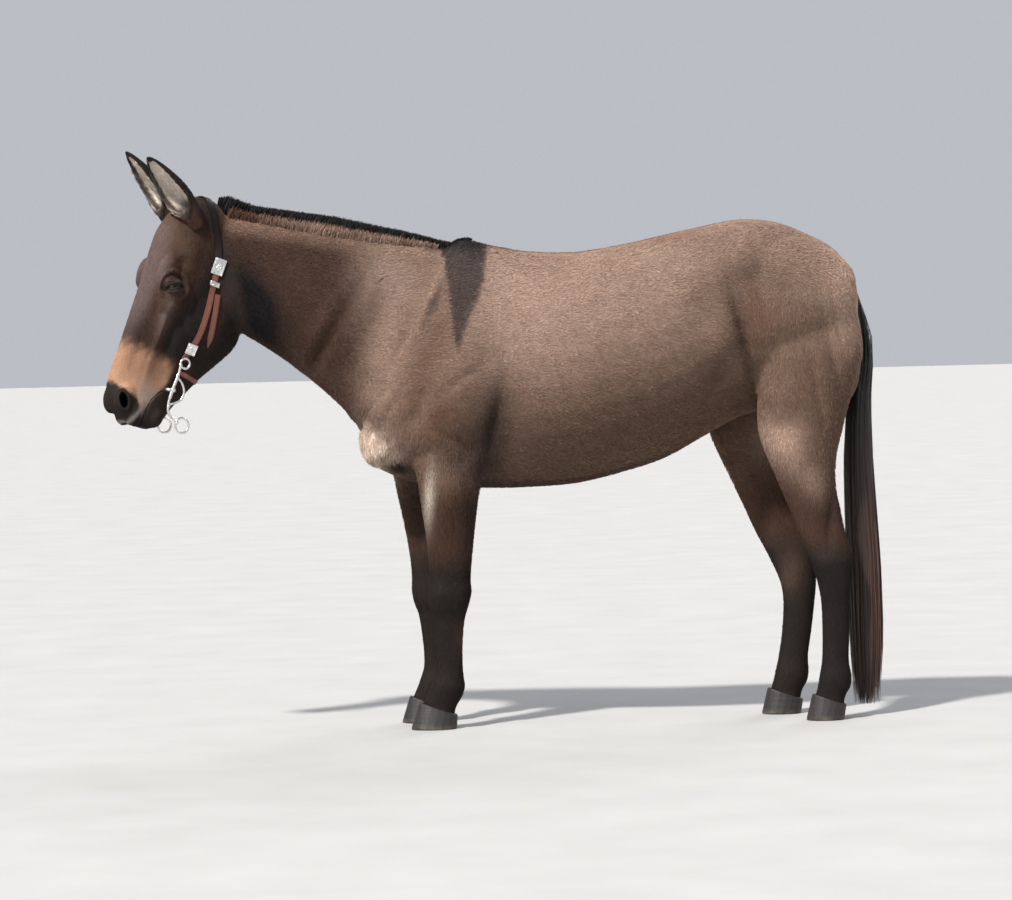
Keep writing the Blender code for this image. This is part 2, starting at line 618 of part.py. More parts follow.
def islands(obj):
    """The separate closed surfaces of a mesh, each as a list of face indices."""
    bm = bmesh.new()
    bm.from_mesh(obj.data)
    seen, found = set(), []
    for face in bm.faces:
        if face.index in seen:
            continue
        seen.add(face.index)
        island, front = [], [face]
        while front:
            here = front.pop()
            island.append(here.index)
            for edge in here.edges:
                for other in edge.link_faces:
                    if other.index not in seen:
                        seen.add(other.index)
                        front.append(other)
        found.append(island)
    bm.free()
    return found


def only_faces(obj, kept):
    """The object's mesh without any other faces."""
    bm = bmesh.new()
    bm.from_mesh(obj.data)
    bm.faces.ensure_lookup_table()
    kept = set(kept)
    loose = [face for face in bm.faces if face.index not in kept]
    bmesh.ops.delete(bm, geom=loose, context="FACES")
    bm.to_mesh(obj.data)
    bm.free()


def largest_only(obj):
    """The object without scraps and sealed hollows."""
    found = islands(obj)
    if len(found) > 1:
        only_faces(obj, max(found, key=len))
    return obj


def plate(middle, normal, width, depth):
    """A thin cutting plate across a part."""
    bm = bmesh.new()
    turn = Vector(normal).to_track_quat("Z", "Y").to_matrix().to_4x4()
    scale = Matrix.Diagonal((width, depth, GAP, 1.0))
    bmesh.ops.create_cube(bm, size=1.0, matrix=Matrix.Translation(middle) @ turn @ scale)
    return helper(bm, "plate")


def hair_line(rows, side):
    """The middle of a foot's hair line and its slope's normal."""
    row = row_at(rows, CORONET)
    middle = Vector(((row[1] + row[2]) / 2, side * row[3], CORONET))
    return middle, Vector((math.sin(CORONET_SLOPE), 0, math.cos(CORONET_SLOPE)))


def island_distance(obj, island, place):
    """How near an island of faces comes to a place."""
    points, polygons = obj.data.vertices, obj.data.polygons
    return min((points[polygons[i].vertices[0]].co - place).length for i in island)


def part_flesh(flesh):
    """Cuts the flesh into its named nodes."""
    cuts = [plate(*HEAD_CUT), plate(*NECK_CUT)]
    places = {"head": on_face(0.5, -0.02), "neck": NECK_PLACE, "torso": TORSO_PLACE}
    for name, side in SIDES:
        for (x, y, z), width, depth in (FRONT_LEG_CUT, HIND_LEG_CUT):
            cuts.append(plate((x, side * y, z), (0, 0, 1), width, depth))
        for kind, rows in (("front", front_rows(side)), ("hind", HIND_LEG[side])):
            middle, normal = hair_line(rows, side)
            cuts.append(plate(middle, normal, *HAIR_LINE_CUT))
            places[f"{name}_{kind}_leg"] = middle + normal * LEG_PLACE_RISE
    for cutter in cuts:
        cut(flesh, cutter)
    found = islands(flesh)
    parts = {}
    for name, place in places.items():
        nearest = min(found, key=lambda island, place=place: island_distance(flesh, island, place))
        parts[name] = add_object(name, flesh.data.copy())
        only_faces(parts[name], nearest)
    bpy.data.objects.remove(flesh, do_unlink=True)
    return parts


def eye_opening(side):
    """An almond-shaped cutter for the opening between the lids."""
    place = eye_matrix(side)
    bm = bmesh.new()
    count = 14
    rings = []
    for depth, spread in ((0.004, 0.94), (0.045, 1.25)):
        ring = []
        for k in range(count):
            angle = 2 * math.pi * k / count
            x = EYE_LENGTH / 2 * math.cos(angle) * spread
            y = EYE_HEIGHT / 2 * power(math.sin(angle), 1.25) * spread
            ring.append(place @ Vector((x, y - 0.002, depth)))
        rings.append(ring)
    add_loft(bm, rings)
    return helper(bm, "opening")


def add_eye(head, name, side, finish):
    """A socket with lids, and the eye in it."""
    place = eye_matrix(side)
    socket = bmesh.new()
    bmesh.ops.create_uvsphere(socket, u_segments=14, v_segments=8, radius=EYE_RADIUS + 3 * GAP, matrix=place)
    cut(head, helper(socket, "socket"))
    cut(head, eye_opening(side))
    bm = bmesh.new()
    bmesh.ops.create_uvsphere(bm, u_segments=14, v_segments=8, radius=EYE_RADIUS, matrix=place)
    finished(add_object(f"{name}_eye", mesh_from(bm, "eye")), finish)


def ribbon(bm, points, normals, width, rise, bed, grown=0.0):
    """A strap along points on the skin, partly sunk in it."""
    rings = []
    last = len(points) - 1
    for i, (point, normal) in enumerate(zip(points, normals)):
        along = (points[min(i + 1, last)] - points[max(i - 1, 0)]).normalized()
        across = along.cross(normal).normalized()
        up = across.cross(along)
        if up.dot(normal) < 0:
            up = -up
        end = (along * grown if i == last else Vector()) - (along * grown if i == 0 else Vector())
        half = width / 2 + grown
        rings.append([
            point + end + across * a * half + up * h
            for a, h in ((-1, -bed - grown), (1, -bed - grown), (1, rise * 0.6 + grown), (0.8, rise + 2 * grown),
                         (-0.8, rise + 2 * grown), (-1, rise * 0.6 + grown))
        ])
    add_loft(bm, rings)


def skin_tree(obj):
    """A search tree of an object's surface."""
    bm = bmesh.new()
    bm.from_mesh(obj.data)
    tree = BVHTree.FromBMesh(bm)
    bm.free()
    return tree


def skin_point(tree, origin, direction):
    """Where a line from outside meets the skin, and the way out there."""
    hit, normal, _, _ = tree.ray_cast(origin, direction)
    return hit, normal


def smooth_path(points, count):
    """Points evenly placed on a smooth line through given ones."""
    rows = smooth_rows([tuple(p) for p in points], 12)
    lengths = [0.0]
    for first, second in zip(rows, rows[1:]):
        lengths.append(lengths[-1] + math.dist(first, second))
    table = [(length, *row) for length, row in zip(lengths, rows)]
    return [row_at(table, lengths[-1] * k / (count - 1))[1:] for k in range(count)]


def cheek_points(tree, line, side, count):
    """Points down the cheek on the skin."""
    inward = face_direction(0, 0, -side)
    points, normals = [], []
    for along, behind in smooth_path(line, count):
        hit, normal = skin_point(tree, on_face(along, behind, side * 0.25), inward)
        points.append(hit)
        normals.append(normal)
    return points, even_normals(normals)


def fan_points(tree, middle, out, count):
    """Points on the skin from the left side round to the right, about a point, by way of one direction."""
    points, normals = [], []
    centre = on_face(*middle)
    for k in range(count):
        angle = math.radians(-90 + 180 * k / (count - 1))
        away = face_direction(out[0] * math.cos(angle), out[1] * math.cos(angle), math.sin(angle))
        hit, normal = skin_point(tree, centre + away * 0.3, -away)
        points.append(hit)
        normals.append(normal)
    return points, even_normals(normals)


def even_normals(normals):
    """Normals averaged with their neighbours."""
    last = len(normals) - 1
    return [
        (normals[max(i - 1, 0)] + normal * 2 + normals[min(i + 1, last)]).normalized()
        for i, normal in enumerate(normals)
    ]


def strap_pieces(tree):
    """Each strap's name, points, normals and width."""
    crown, crown_normals = fan_points(tree, CROWN_MIDDLE, (-1.0, -0.5), 13)
    left, left_normals = cheek_points(tree, CROWN_END, LEFT, 3)
    right, right_normals = cheek_points(tree, CROWN_END, RIGHT, 3)
    points = left[::-1] + crown + right
    normals = left_normals[::-1] + crown_normals + right_normals
    yield "crown_strap", points, normals, CROWN_WIDTH
    points, normals = fan_points(tree, CURB_MIDDLE, (0.1, 1.0), 11)
    yield "curb_strap", points, normals, CURB_WIDTH
    for name, side in SIDES:
        points, normals = cheek_points(tree, CHEEK_LINE, side, 10)
        yield f"{name}_cheek_strap", points, normals, CHEEK_WIDTH
        points, normals = cheek_points(tree, BILLET_LINE, side, 5)
        yield f"{name}_billet", points, normals, CHEEK_WIDTH


def box_at(middle, turn, sizes):
    """A turned box in a place."""
    bm = bmesh.new()
    scale = Matrix.Diagonal((*sizes, 1.0))
    bmesh.ops.create_cube(bm, size=1.0, matrix=Matrix.Translation(middle) @ turn @ scale)
    return bm


def add_buckles(head, tree, finish):
    """Bevelled metal plates seated in the straps."""
    for name, side in SIDES:
        hosts = [head, *(bpy.data.objects[n] for n in ("crown_strap", f"{name}_cheek_strap", f"{name}_billet"))]
        for kind, (along, behind), length, width, thickness in BUCKLES:
            line = ((along - length * 0.45, behind), (along, behind), (along + length * 0.45, behind))
            points, normals = cheek_points(tree, line, side, 3)
            normal = sum(normals, Vector()).normalized()
            down = (points[-1] - points[0]).normalized()
            across = down.cross(normal).normalized()
            up = across.cross(down)
            if up.dot(normal) < 0:
                up = -up
            high = max((point - points[1]).dot(up) for point in points)
            middle = points[1] + up * (high + STRAP_RISE - BUCKLE_SUNK + thickness / 2)
            turn = Matrix((down, across, up)).transposed().to_4x4()
            sizes = (length, width, thickness)
            seat = [size + 3 * GAP for size in sizes]
            for host in hosts:
                cut(host, helper(box_at(middle, turn, seat), "seat"), "MANIFOLD")
            buckle = add_object(f"{name}_{kind}", mesh_from(box_at(middle, turn, sizes), kind))
            modified(buckle, "BEVEL", width=0.0014, segments=1)
            finished(buckle, finish)


def add_straps(head, tree, leather, black):
    """The bridle's straps, each in its own bed."""
    for name, points, normals, width in list(strap_pieces(tree)):
        bed = bmesh.new()
        ribbon(bed, points, normals, width, STRAP_RISE, STRAP_BED, 3 * GAP)
        cut(head, helper(bed, "bed"), "MANIFOLD")
        bm = bmesh.new()
        ribbon(bm, points, normals, width, STRAP_RISE, STRAP_BED)
        finished(add_object(name, mesh_from(bm, name)), black if name == "crown_strap" else leather)


def cut_nostrils_and_mouth(head):
    """The nostrils and the line between the lips."""
    for _, side in SIDES:
        bm = bmesh.new()
        place = FACE @ Matrix.Translation((NOSTRIL[0], NOSTRIL[1], side * NOSTRIL[2]))
        add_mass(bm, place @ Matrix.Rotation(NOSTRIL_TURN, 4, "Z"), NOSTRIL_HALF, 14)
        cut(head, helper(bm, "nostril"))
    tree = skin_tree(head)
    sides = [cheek_points(tree, MOUTH_LINE, side, 7) for _, side in SIDES]
    front_along, front_behind = MOUTH_LINE[-1]
    front, _ = skin_point(tree, on_face(front_along + 0.25, front_behind, 0), face_direction(-1, 0, 0))
    points = sides[0][0] + [front] + sides[1][0][::-1]
    middle = on_face(0.600, front_behind, 0)
    bm = bmesh.new()
    rings = []
    last = len(points) - 1
    for i, point in enumerate(points):
        along = (points[min(i + 1, last)] - points[max(i - 1, 0)]).normalized()
        inward = middle - point
        inward = (inward - along * along.dot(inward)).normalized()
        thick = along.cross(inward).normalized() * MOUTH_GAPE / 2
        outer, inner = point - inward * 0.008, point + inward * MOUTH_DEPTH
        rings.append([outer - thick * 2, inner - thick, inner + thick, outer + thick * 2])
    add_loft(bm, rings)
    cut(head, helper(bm, "mouth"))


def ear_frame(side):
    """The ear's root, its way up, its width and the way its cup opens."""
    root, tip, twist = EARS[side]
    root = HEAD_TURN @ Vector((root.x, side * root.y, root.z))
    up = HEAD_TURN @ Vector((tip.x, side * tip.y, tip.z)) - root
    opening = face_direction(-0.1, -math.cos(twist), side * math.sin(twist))
    opening = (opening - up * opening.dot(up) / up.length_squared).normalized()
    return root, up, up.normalized().cross(opening), opening


def ear_loft(side, sections, grown=0.0, count=12):
    """The ear's outer form, or the hollow of its cup."""
    root, up, across, opening = ear_frame(side)
    bm = bmesh.new()
    rings = []
    for share, half_width, behind, before in sections:
        middle = root + up * share - opening * (EAR_BOW * share * (1 - share) * up.length)
        middle -= up.normalized() * (2 * grown if not rings else 0)
        ring = []
        for k in range(count):
            angle = 2 * math.pi * k / count
            depth = before if math.sin(angle) > 0 else behind
            ring.append(
                middle + across * (half_width + grown) * math.cos(angle) + opening * (depth + grown) * math.sin(angle)
            )
        rings.append(ring)
    add_loft(bm, rings)
    return bm


def add_ear(head, name, side, finish):
    """A cupped ear with its root seated in the head."""
    cut(head, helper(ear_loft(side, EAR_SECTIONS, 1.5 * GAP), "seat"))
    ear = add_object(f"{name}_ear", mesh_from(ear_loft(side, EAR_SECTIONS), "ear"))
    cut(ear, helper(ear_loft(side, EAR_CUP), "cup"))
    finished(largest_only(ear), finish)


def add_hoof(name, rows, side, reach, finish):
    """A hoof from the sloping hair line to its flat sole."""
    before, behind, half_width = reach
    row = row_at(rows, CORONET)
    middle, _ = hair_line(rows, side)
    half = (row[2] - row[1]) / 2 + HOOF_LIP
    bm = bmesh.new()
    count = 20
    rings = []
    for share in (0.0, 0.06, 0.94, 1.0):
        front, rear = -half - before * share, half + behind * share
        across = (row[4] + HOOF_LIP) * (1 - share) + half_width * share
        bevel = 0.002 if share in (0.0, 1.0) else 0.0
        ring = []
        for k in range(count):
            angle = 2 * math.pi * k / count
            x = (front + rear) / 2 + ((rear - front) / 2 - bevel) * power(math.cos(angle), 0.9)
            y = (across - bevel) * power(math.sin(angle), 0.9)
            top = CORONET - x * math.tan(CORONET_SLOPE) - GAP
            ring.append(Vector((middle.x + x, middle.y + y, top * (1 - share))))
        rings.append(ring)
    add_loft(bm, rings)
    finished(add_object(name, mesh_from(bm, name)), finish)


def tail_rings(grown=0.0, count=12):
    """Sections down the tail's core."""
    rows = smooth_rows(TAIL, 2)
    rings = []
    last = len(rows) - 1
    for i, (x, z, half_depth, half_width) in enumerate(rows):
        before, after = rows[max(i - 1, 0)], rows[min(i + 1, last)]
        down = Vector((after[0] - before[0], 0, after[1] - before[1])).normalized()
        back = Vector((-down.z, 0, down.x))
        middle = Vector((x, 0, z)) - (down * grown if i == 0 else Vector())
        rings.append([
            middle + back * (half_depth + grown) * math.cos(2 * math.pi * k / count)
            + Vector((0, (half_width + grown) * math.sin(2 * math.pi * k / count), 0))
            for k in range(count)
        ])
    return rings


def lock(points, width, thickness, facing, fullness=1.8):
    """A flat lock of hair along points, tapered to its tip, later where it is fuller."""
    bm = bmesh.new()
    rings = []
    last = len(points) - 1
    for i, point in enumerate(points[:-1]):
        along = (points[i + 1] - points[max(i - 1, 0)]).normalized()
        across = along.cross(facing).normalized()
        up = across.cross(along).normalized()
        taper = (1 - (i / last) ** fullness) * (0.6 + 0.4 * min(1.0, 3 * i / last))
        rings.append([
            point + across * width / 2 * taper, point + up * thickness / 2 * taper,
            point - across * width / 2 * taper, point - up * thickness / 2 * taper,
        ])
    loops = [[bm.verts.new(co) for co in ring] for ring in rings]
    for lower, upper in zip(loops, loops[1:]):
        for i in range(4):
            j = (i + 1) % 4
            bm.faces.new((lower[i], lower[j], upper[j], upper[i]))
    tip = bm.verts.new(points[-1])
    for i in range(4):
        bm.faces.new((loops[-1][i], loops[-1][(i + 1) % 4], tip))
    bm.faces.new(loops[0][::-1])
    return bm


def join_all(obj, pieces, name):
    """One union of an object with many closed pieces, which go."""
    holder = collection(name)
    for piece in pieces:
        holder.objects.link(piece)
    modified(obj, "BOOLEAN", operation="UNION", operand_type="COLLECTION", collection=holder, solver="MANIFOLD")
    for piece in pieces:
        bpy.data.objects.remove(piece, do_unlink=True)
    bpy.data.collections.remove(holder)
    return largest_only(obj)


def tail_locks(draw):
    """Locks from the dock and the core down to tips at many heights."""
    pieces = []
    for k in range(TAIL_LOCKS):
        angle = 2 * math.pi * (k * 0.618 % 1.0)
        start = 1.16 - 0.62 * (k / TAIL_LOCKS) ** 0.9
        end = max(0.045, start - draw.uniform(0.50, 0.72)) if k < TAIL_LOCKS * 0.6 else draw.uniform(0.045, 0.30)
        core = row_at(TAIL[::-1], start, 1)
        points = []
        for step in range(6):
            t = step / 5
            z = start + (end - start) * t
            outer = row_at(TAIL_REACH, max(0.12, min(0.95, z)), 1)[0]
            centre = core[0] + (outer - 0.034 - core[0]) * t
            spread = 0.55 + 0.50 * math.sin(math.pi * min(0.88, 0.25 + 0.65 * t))
            sway = 0.004 * math.sin(3.0 * t + k)
            x = centre + math.cos(angle) * 0.032 * spread + sway
            y = math.sin(angle) * 0.052 * spread + sway
            points.append(Vector((x, y, z)))
        points[0].x = core[0] + math.cos(angle) * 0.008
        points[0].y = math.sin(angle) * 0.012
        facing = Vector((math.cos(angle), math.sin(angle), 0))
        width, thickness = draw.uniform(0.026, 0.038), draw.uniform(0.009, 0.013)
        pieces.append(helper(lock(points, width, thickness, facing), "lock"))
    return pieces


def add_tail(torso, finish, draw):
    """The tail: dock and core seated in the rump, with locks fused to it."""
    bed = bmesh.new()
    add_loft(bed, tail_rings(GAP))
    cut(torso, helper(bed, "seat"))
    bm = bmesh.new()
    add_loft(bm, tail_rings())
    tail = add_object("tail", mesh_from(bm, "tail"))
    finished(join_all(tail, tail_locks(draw), "locks"), finish)


def crest_height(x):
    """The height of the crest's skin."""
    return row_at([(row[0], row[1], row[4]) for row in NECK[::-1]], x)


def mane_tufts(draw):
    """Short upright tufts along the crest."""
    pieces = []
    start, end = MANE_TOP[0][0], MANE_TOP[-1][0]
    count = int((end - start) / MANE_STEP)
    for k in range(count):
        x = start + (end - start) * (k + 0.5) / count
        _, crest, middle = crest_height(x)
        top = row_at(MANE_TOP, x)[1] + draw.uniform(-0.003, 0.002)
        side = (-1, 1, 0)[k % 3]
        lean = draw.uniform(-0.010, 0.014)
        points = [
            Vector((x + lean * bent, middle + side * out, height)) for bent, out, height in (
                (0.0, 0.004, crest - 0.022), (0.0, 0.006, (crest + top) / 2), (0.8, 0.009, top - 0.006), (1.0, 0.010, top),
            )
        ]
        width = draw.uniform(0.036, 0.046)
        pieces.append(helper(lock(points, width, MANE_THICKNESS, Vector((0, 1, 0)), BLUNT), "tuft"))
    return pieces


def tube(points, radius, name, closed=False):
    """A round rod along points, as a mesh."""
    curve = bpy.data.curves.new(name, "CURVE")
    curve.dimensions = "3D"
    curve.bevel_depth = radius
    curve.bevel_resolution = 1
    curve.use_fill_caps = True
    spline = curve.splines.new("POLY")
    spline.points.add(len(points) - 1)
    for target, point in zip(spline.points, points):
        target.co = (*point, 1.0)
    spline.use_cyclic_u = closed
    rod = bpy.data.objects.new(name, curve)
    bpy.context.scene.collection.objects.link(rod)
    graph = bpy.context.evaluated_depsgraph_get()
    mesh = bpy.data.meshes.new_from_object(rod.evaluated_get(graph))
    bpy.data.objects.remove(rod, do_unlink=True)
    bm = bmesh.new()
    bm.from_mesh(mesh)
    bmesh.ops.remove_doubles(bm, verts=bm.verts, dist=0.00001)
    return helper(bm, name)


def bit_point(side, along, behind, inward=0.0):
    """A point in the upright plane in which one cheek of the bit hangs."""
    return on_face(along, behind, side * (BIT_OUT - inward))


def bit_ring(side, middle, radius, count=10):
    """Points round a ring of the bit."""
    angles = [2 * math.pi * k / count for k in range(count)]
    return [bit_point(side, middle[0] + radius * math.cos(a), middle[1] + radius * math.sin(a)) for a in angles]


def mouthpiece(side, radius, name):
    """The end of the bar, from the shank into the corner of the mouth."""
    return tube([bit_point(side, *spot) for spot in MOUTHPIECE], radius, name)


def add_bit(head, name, side, finish):
    """One cheek of the bit: hook, shank, loop, rein ring and the end of the mouthpiece."""
    cut(head, mouthpiece(side, WIRE * 1.2 + GAP, "seat"), "MANIFOLD")
    pieces = [
        tube([bit_point(side, *spot) for spot in smooth_path(LOOP, 8)], WIRE * 0.9, "loop"),
        tube(bit_ring(side, HOOK, HOOK_RADIUS), WIRE * 0.8, "hook", True),
        tube(bit_ring(side, REIN_RING, REIN_RING_RADIUS), WIRE * 0.8, "ring", True),
        mouthpiece(side, WIRE * 1.2, "end"),
    ]
    rod = tube([bit_point(side, *spot) for spot in smooth_path(SHANK, 10)], WIRE, "shank")
    bit = add_object(f"{name}_bit", rod.data)
    bpy.data.objects.remove(rod, do_unlink=True)
    finished(join_all(bit, pieces, "rods"), finish)


def main():
    remove_all_objects()
    collection("mule")
    collection("cutters")
    draw = random.Random(7)
    coat = material("coat", (0.150, 0.100, 0.070), 0.85)
    dark_coat = material("dark_coat", (0.035, 0.026, 0.022), 0.85)
    hair = material("black_hair", (0.012, 0.010, 0.010), 0.70)
    horn = material("hoof_horn", (0.030, 0.026, 0.024), 0.50)
    eye_finish = material("eye", (0.015, 0.010, 0.008), 0.10)
    leather = material("leather", (0.290, 0.090, 0.045), 0.55)
    black = material("black_leather", (0.015, 0.013, 0.012), 0.60)
    steel = material("polished_steel", (0.780, 0.780, 0.780), 0.20, 1.0)
    parts = part_flesh(flesh_form(FLESH_VOXEL, 10, FLESH_FACES))
    for name, obj in parts.items():
        finished(obj, dark_coat if "leg" in name else coat)
    head = parts["head"]
    tree = skin_tree(head)
    add_straps(head, tree, leather, black)
    add_buckles(head, tree, steel)
    for name, side in SIDES:
        add_eye(head, name, side, eye_finish)
        add_ear(head, name, side, coat)
        add_hoof(f"{name}_front_hoof", front_rows(side), side, HOOVES["front"], horn)
        add_hoof(f"{name}_hind_hoof", HIND_LEG[side], side, HOOVES["hind"], horn)
    cut_nostrils_and_mouth(head)
    for name, side in SIDES:
        add_bit(head, name, side, steel)
    add_tail(parts["torso"], hair, draw)
    join_all(parts["neck"], mane_tufts(draw), "tufts")
    for obj in parts.values():
        largest_only(obj)


main()
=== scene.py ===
"""The looks of a standing mule, life size: hide, short coat, mane, tail, eyes, hooves and bridle."""

import math

import bmesh
import bpy
import numpy
from mathutils import Matrix, Quaternion, Vector
from mathutils.bvhtree import BVHTree


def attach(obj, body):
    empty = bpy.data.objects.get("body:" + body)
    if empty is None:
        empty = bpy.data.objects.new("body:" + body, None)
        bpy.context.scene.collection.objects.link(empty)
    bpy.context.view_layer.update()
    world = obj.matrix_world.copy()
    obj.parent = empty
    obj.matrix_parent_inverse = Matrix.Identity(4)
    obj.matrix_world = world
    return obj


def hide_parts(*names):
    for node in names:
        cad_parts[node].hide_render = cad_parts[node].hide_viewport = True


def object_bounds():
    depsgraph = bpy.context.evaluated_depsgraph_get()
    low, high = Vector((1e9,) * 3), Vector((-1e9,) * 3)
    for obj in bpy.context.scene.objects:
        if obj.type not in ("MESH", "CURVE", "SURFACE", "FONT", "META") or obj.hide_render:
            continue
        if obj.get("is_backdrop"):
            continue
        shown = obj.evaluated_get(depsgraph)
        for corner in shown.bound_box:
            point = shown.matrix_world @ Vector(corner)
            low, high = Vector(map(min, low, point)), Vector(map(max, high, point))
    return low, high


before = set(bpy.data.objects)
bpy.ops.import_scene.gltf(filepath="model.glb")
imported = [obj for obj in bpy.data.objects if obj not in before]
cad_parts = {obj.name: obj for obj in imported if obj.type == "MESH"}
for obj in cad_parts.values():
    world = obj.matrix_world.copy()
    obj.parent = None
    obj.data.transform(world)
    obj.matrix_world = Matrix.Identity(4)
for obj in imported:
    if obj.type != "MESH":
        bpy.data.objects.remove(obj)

# Driving sizes
LEFT, RIGHT = -1, 1  # the sign of Y on each side
SIDES = (("left", LEFT), ("right", RIGHT))
HEAD_PIVOT = Vector((-0.830, -0.030, 0.0))  # the head turns about this upright line
HEAD_YAW = math.radians(31)  # turned towards the left side
POLL = (-0.060, 1.575)  # x and z of the poll before the turn
FACE_PITCH = math.radians(70)  # the face line's fall below the level

# Each trunk section: x, top z, bottom z, half width, where the widest point lies (0 top, 1 bottom),
# fullness above and below it (2 is an ellipse, less is peaked, more is square).
TRUNK = (
    (-0.392, 0.935, 0.825, 0.060, 0.50, 2.0, 2.0),
    (-0.355, 1.060, 0.784, 0.120, 0.55, 2.0, 2.0),
    (-0.290, 1.200, 0.750, 0.165, 0.60, 2.0, 2.1),
    (-0.200, 1.340, 0.722, 0.188, 0.60, 1.8, 2.1),
    (-0.100, 1.458, 0.712, 0.202, 0.62, 1.5, 2.1),
    (0.010, 1.441, 0.708, 0.222, 0.60, 1.6, 2.2),
    (0.110, 1.421, 0.709, 0.246, 0.58, 1.8, 2.2),
    (0.250, 1.413, 0.717, 0.268, 0.56, 1.9, 2.1),
    (0.400, 1.432, 0.750, 0.276, 0.56, 2.0, 2.0),
    (0.520, 1.456, 0.788, 0.270, 0.54, 2.1, 2.0),
    (0.640, 1.480, 0.852, 0.255, 0.50, 2.1, 2.0),
    (0.750, 1.498, 0.908, 0.240, 0.48, 2.1, 2.0),
    (0.860, 1.488, 0.930, 0.228, 0.48, 2.1, 2.0),
    (0.960, 1.448, 0.960, 0.205, 0.48, 2.0, 2.0),
    (1.040, 1.400, 1.010, 0.160, 0.48, 1.9, 2.0),
    (1.095, 1.320, 1.090, 0.100, 0.48, 1.9, 2.0),
)

# Each neck section: crest x and z, throat x and z, y of its middle, half width, widest point,
# fullness at the crest and at the throat.
NECK = (
    (-0.010, 1.350, -0.220, 0.900, 0.000, 0.150, 0.62, 1.6, 2.0),
    (-0.130, 1.440, -0.380, 0.880, 0.000, 0.150, 0.66, 1.5, 2.0),
    (-0.260, 1.460, -0.442, 0.952, 0.000, 0.126, 0.64, 1.5, 2.0),
    (-0.410, 1.486, -0.512, 1.020, 0.000, 0.106, 0.60, 1.5, 2.0),
    (-0.560, 1.517, -0.598, 1.092, -0.002, 0.094, 0.56, 1.5, 2.1),
    (-0.690, 1.540, -0.682, 1.152, -0.008, 0.090, 0.52, 1.6, 2.1),
    (-0.790, 1.552, -0.750, 1.195, -0.020, 0.086, 0.50, 1.7, 2.1),
    (-0.860, 1.530, -0.815, 1.260, -0.036, 0.070, 0.50, 1.8, 2.1),
)

# Each front leg section: height, front x, rear x, y from the middle, half width, fullness.
FRONT_LEG = (
    (0.860, -0.262, -0.040, 0.118, 0.062, 2.0),
    (0.760, -0.232, -0.030, 0.126, 0.066, 2.0),
    (0.680, -0.220, -0.044, 0.134, 0.062, 2.1),
    (0.600, -0.209, -0.056, 0.134, 0.056, 2.1),
    (0.520, -0.201, -0.066, 0.131, 0.047, 2.1),
    (0.450, -0.199, -0.073, 0.128, 0.041, 2.2),
    (0.405, -0.203, -0.072, 0.127, 0.045, 2.4),
    (0.365, -0.200, -0.082, 0.126, 0.043, 2.4),
    (0.325, -0.189, -0.094, 0.125, 0.034, 2.2),
    (0.250, -0.184, -0.102, 0.123, 0.029, 2.2),
    (0.175, -0.186, -0.103, 0.121, 0.030, 2.2),
    (0.130, -0.202, -0.098, 0.120, 0.038, 2.2),
    (0.098, -0.217, -0.106, 0.119, 0.036, 2.2),
    (0.068, -0.232, -0.124, 0.118, 0.034, 2.2),
    (0.030, -0.248, -0.136, 0.118, 0.044, 2.2),
)
FRONT_LEAN = {LEFT: (0.0, 0.0), RIGHT: (-0.028, -0.066)}  # x at the floor, and more for each metre up

# Hind leg sections, the same way. The right one is drawn forward, so it has its own.
HIND_LEG = {
    LEFT: (
        (1.200, 0.820, 1.100, 0.120, 0.095, 2.0),
        (1.090, 0.790, 1.108, 0.142, 0.098, 2.0),
        (1.000, 0.786, 1.080, 0.152, 0.094, 2.0),
        (0.930, 0.785, 1.060, 0.158, 0.086, 2.0),
        (0.860, 0.787, 1.040, 0.160, 0.078, 2.1),
        (0.790, 0.810, 1.022, 0.158, 0.070, 2.1),
        (0.710, 0.843, 1.018, 0.152, 0.060, 2.1),
        (0.630, 0.876, 1.030, 0.144, 0.050, 2.0),
        (0.560, 0.903, 1.044, 0.138, 0.042, 2.0),
        (0.505, 0.925, 1.060, 0.135, 0.042, 2.1),
        (0.455, 0.942, 1.064, 0.133, 0.046, 2.3),
        (0.400, 0.957, 1.058, 0.131, 0.041, 2.3),
        (0.340, 0.965, 1.053, 0.129, 0.033, 2.2),
        (0.250, 0.966, 1.049, 0.127, 0.030, 2.2),
        (0.175, 0.963, 1.046, 0.125, 0.031, 2.2),
        (0.132, 0.955, 1.053, 0.124, 0.038, 2.2),
        (0.100, 0.949, 1.050, 0.123, 0.037, 2.2),
        (0.070, 0.940, 1.034, 0.122, 0.034, 2.2),
        (0.030, 0.926, 1.026, 0.122, 0.043, 2.2),
    ),
    RIGHT: (
        (1.200, 0.790, 1.085, 0.120, 0.095, 2.0),
        (1.090, 0.715, 1.070, 0.142, 0.098, 2.0),
        (1.000, 0.675, 1.020, 0.152, 0.094, 2.0),
        (0.930, 0.655, 0.965, 0.158, 0.086, 2.0),
        (0.860, 0.655, 0.925, 0.160, 0.078, 2.1),
        (0.790, 0.682, 0.900, 0.158, 0.070, 2.1),
        (0.710, 0.720, 0.893, 0.152, 0.060, 2.1),
        (0.630, 0.755, 0.908, 0.144, 0.050, 2.0),
        (0.560, 0.785, 0.930, 0.138, 0.042, 2.0),
        (0.505, 0.813, 0.955, 0.135, 0.042, 2.1),
        (0.455, 0.838, 0.970, 0.133, 0.046, 2.3),
        (0.400, 0.860, 0.972, 0.131, 0.041, 2.3),
        (0.340, 0.868, 0.966, 0.129, 0.033, 2.2),
        (0.250, 0.862, 0.954, 0.127, 0.030, 2.2),
        (0.175, 0.850, 0.942, 0.125, 0.031, 2.2),
        (0.132, 0.840, 0.943, 0.124, 0.038, 2.2),
        (0.100, 0.832, 0.938, 0.123, 0.037, 2.2),
        (0.070, 0.822, 0.922, 0.122, 0.034, 2.2),
        (0.030, 0.806, 0.912, 0.122, 0.043, 2.2),
    ),
}

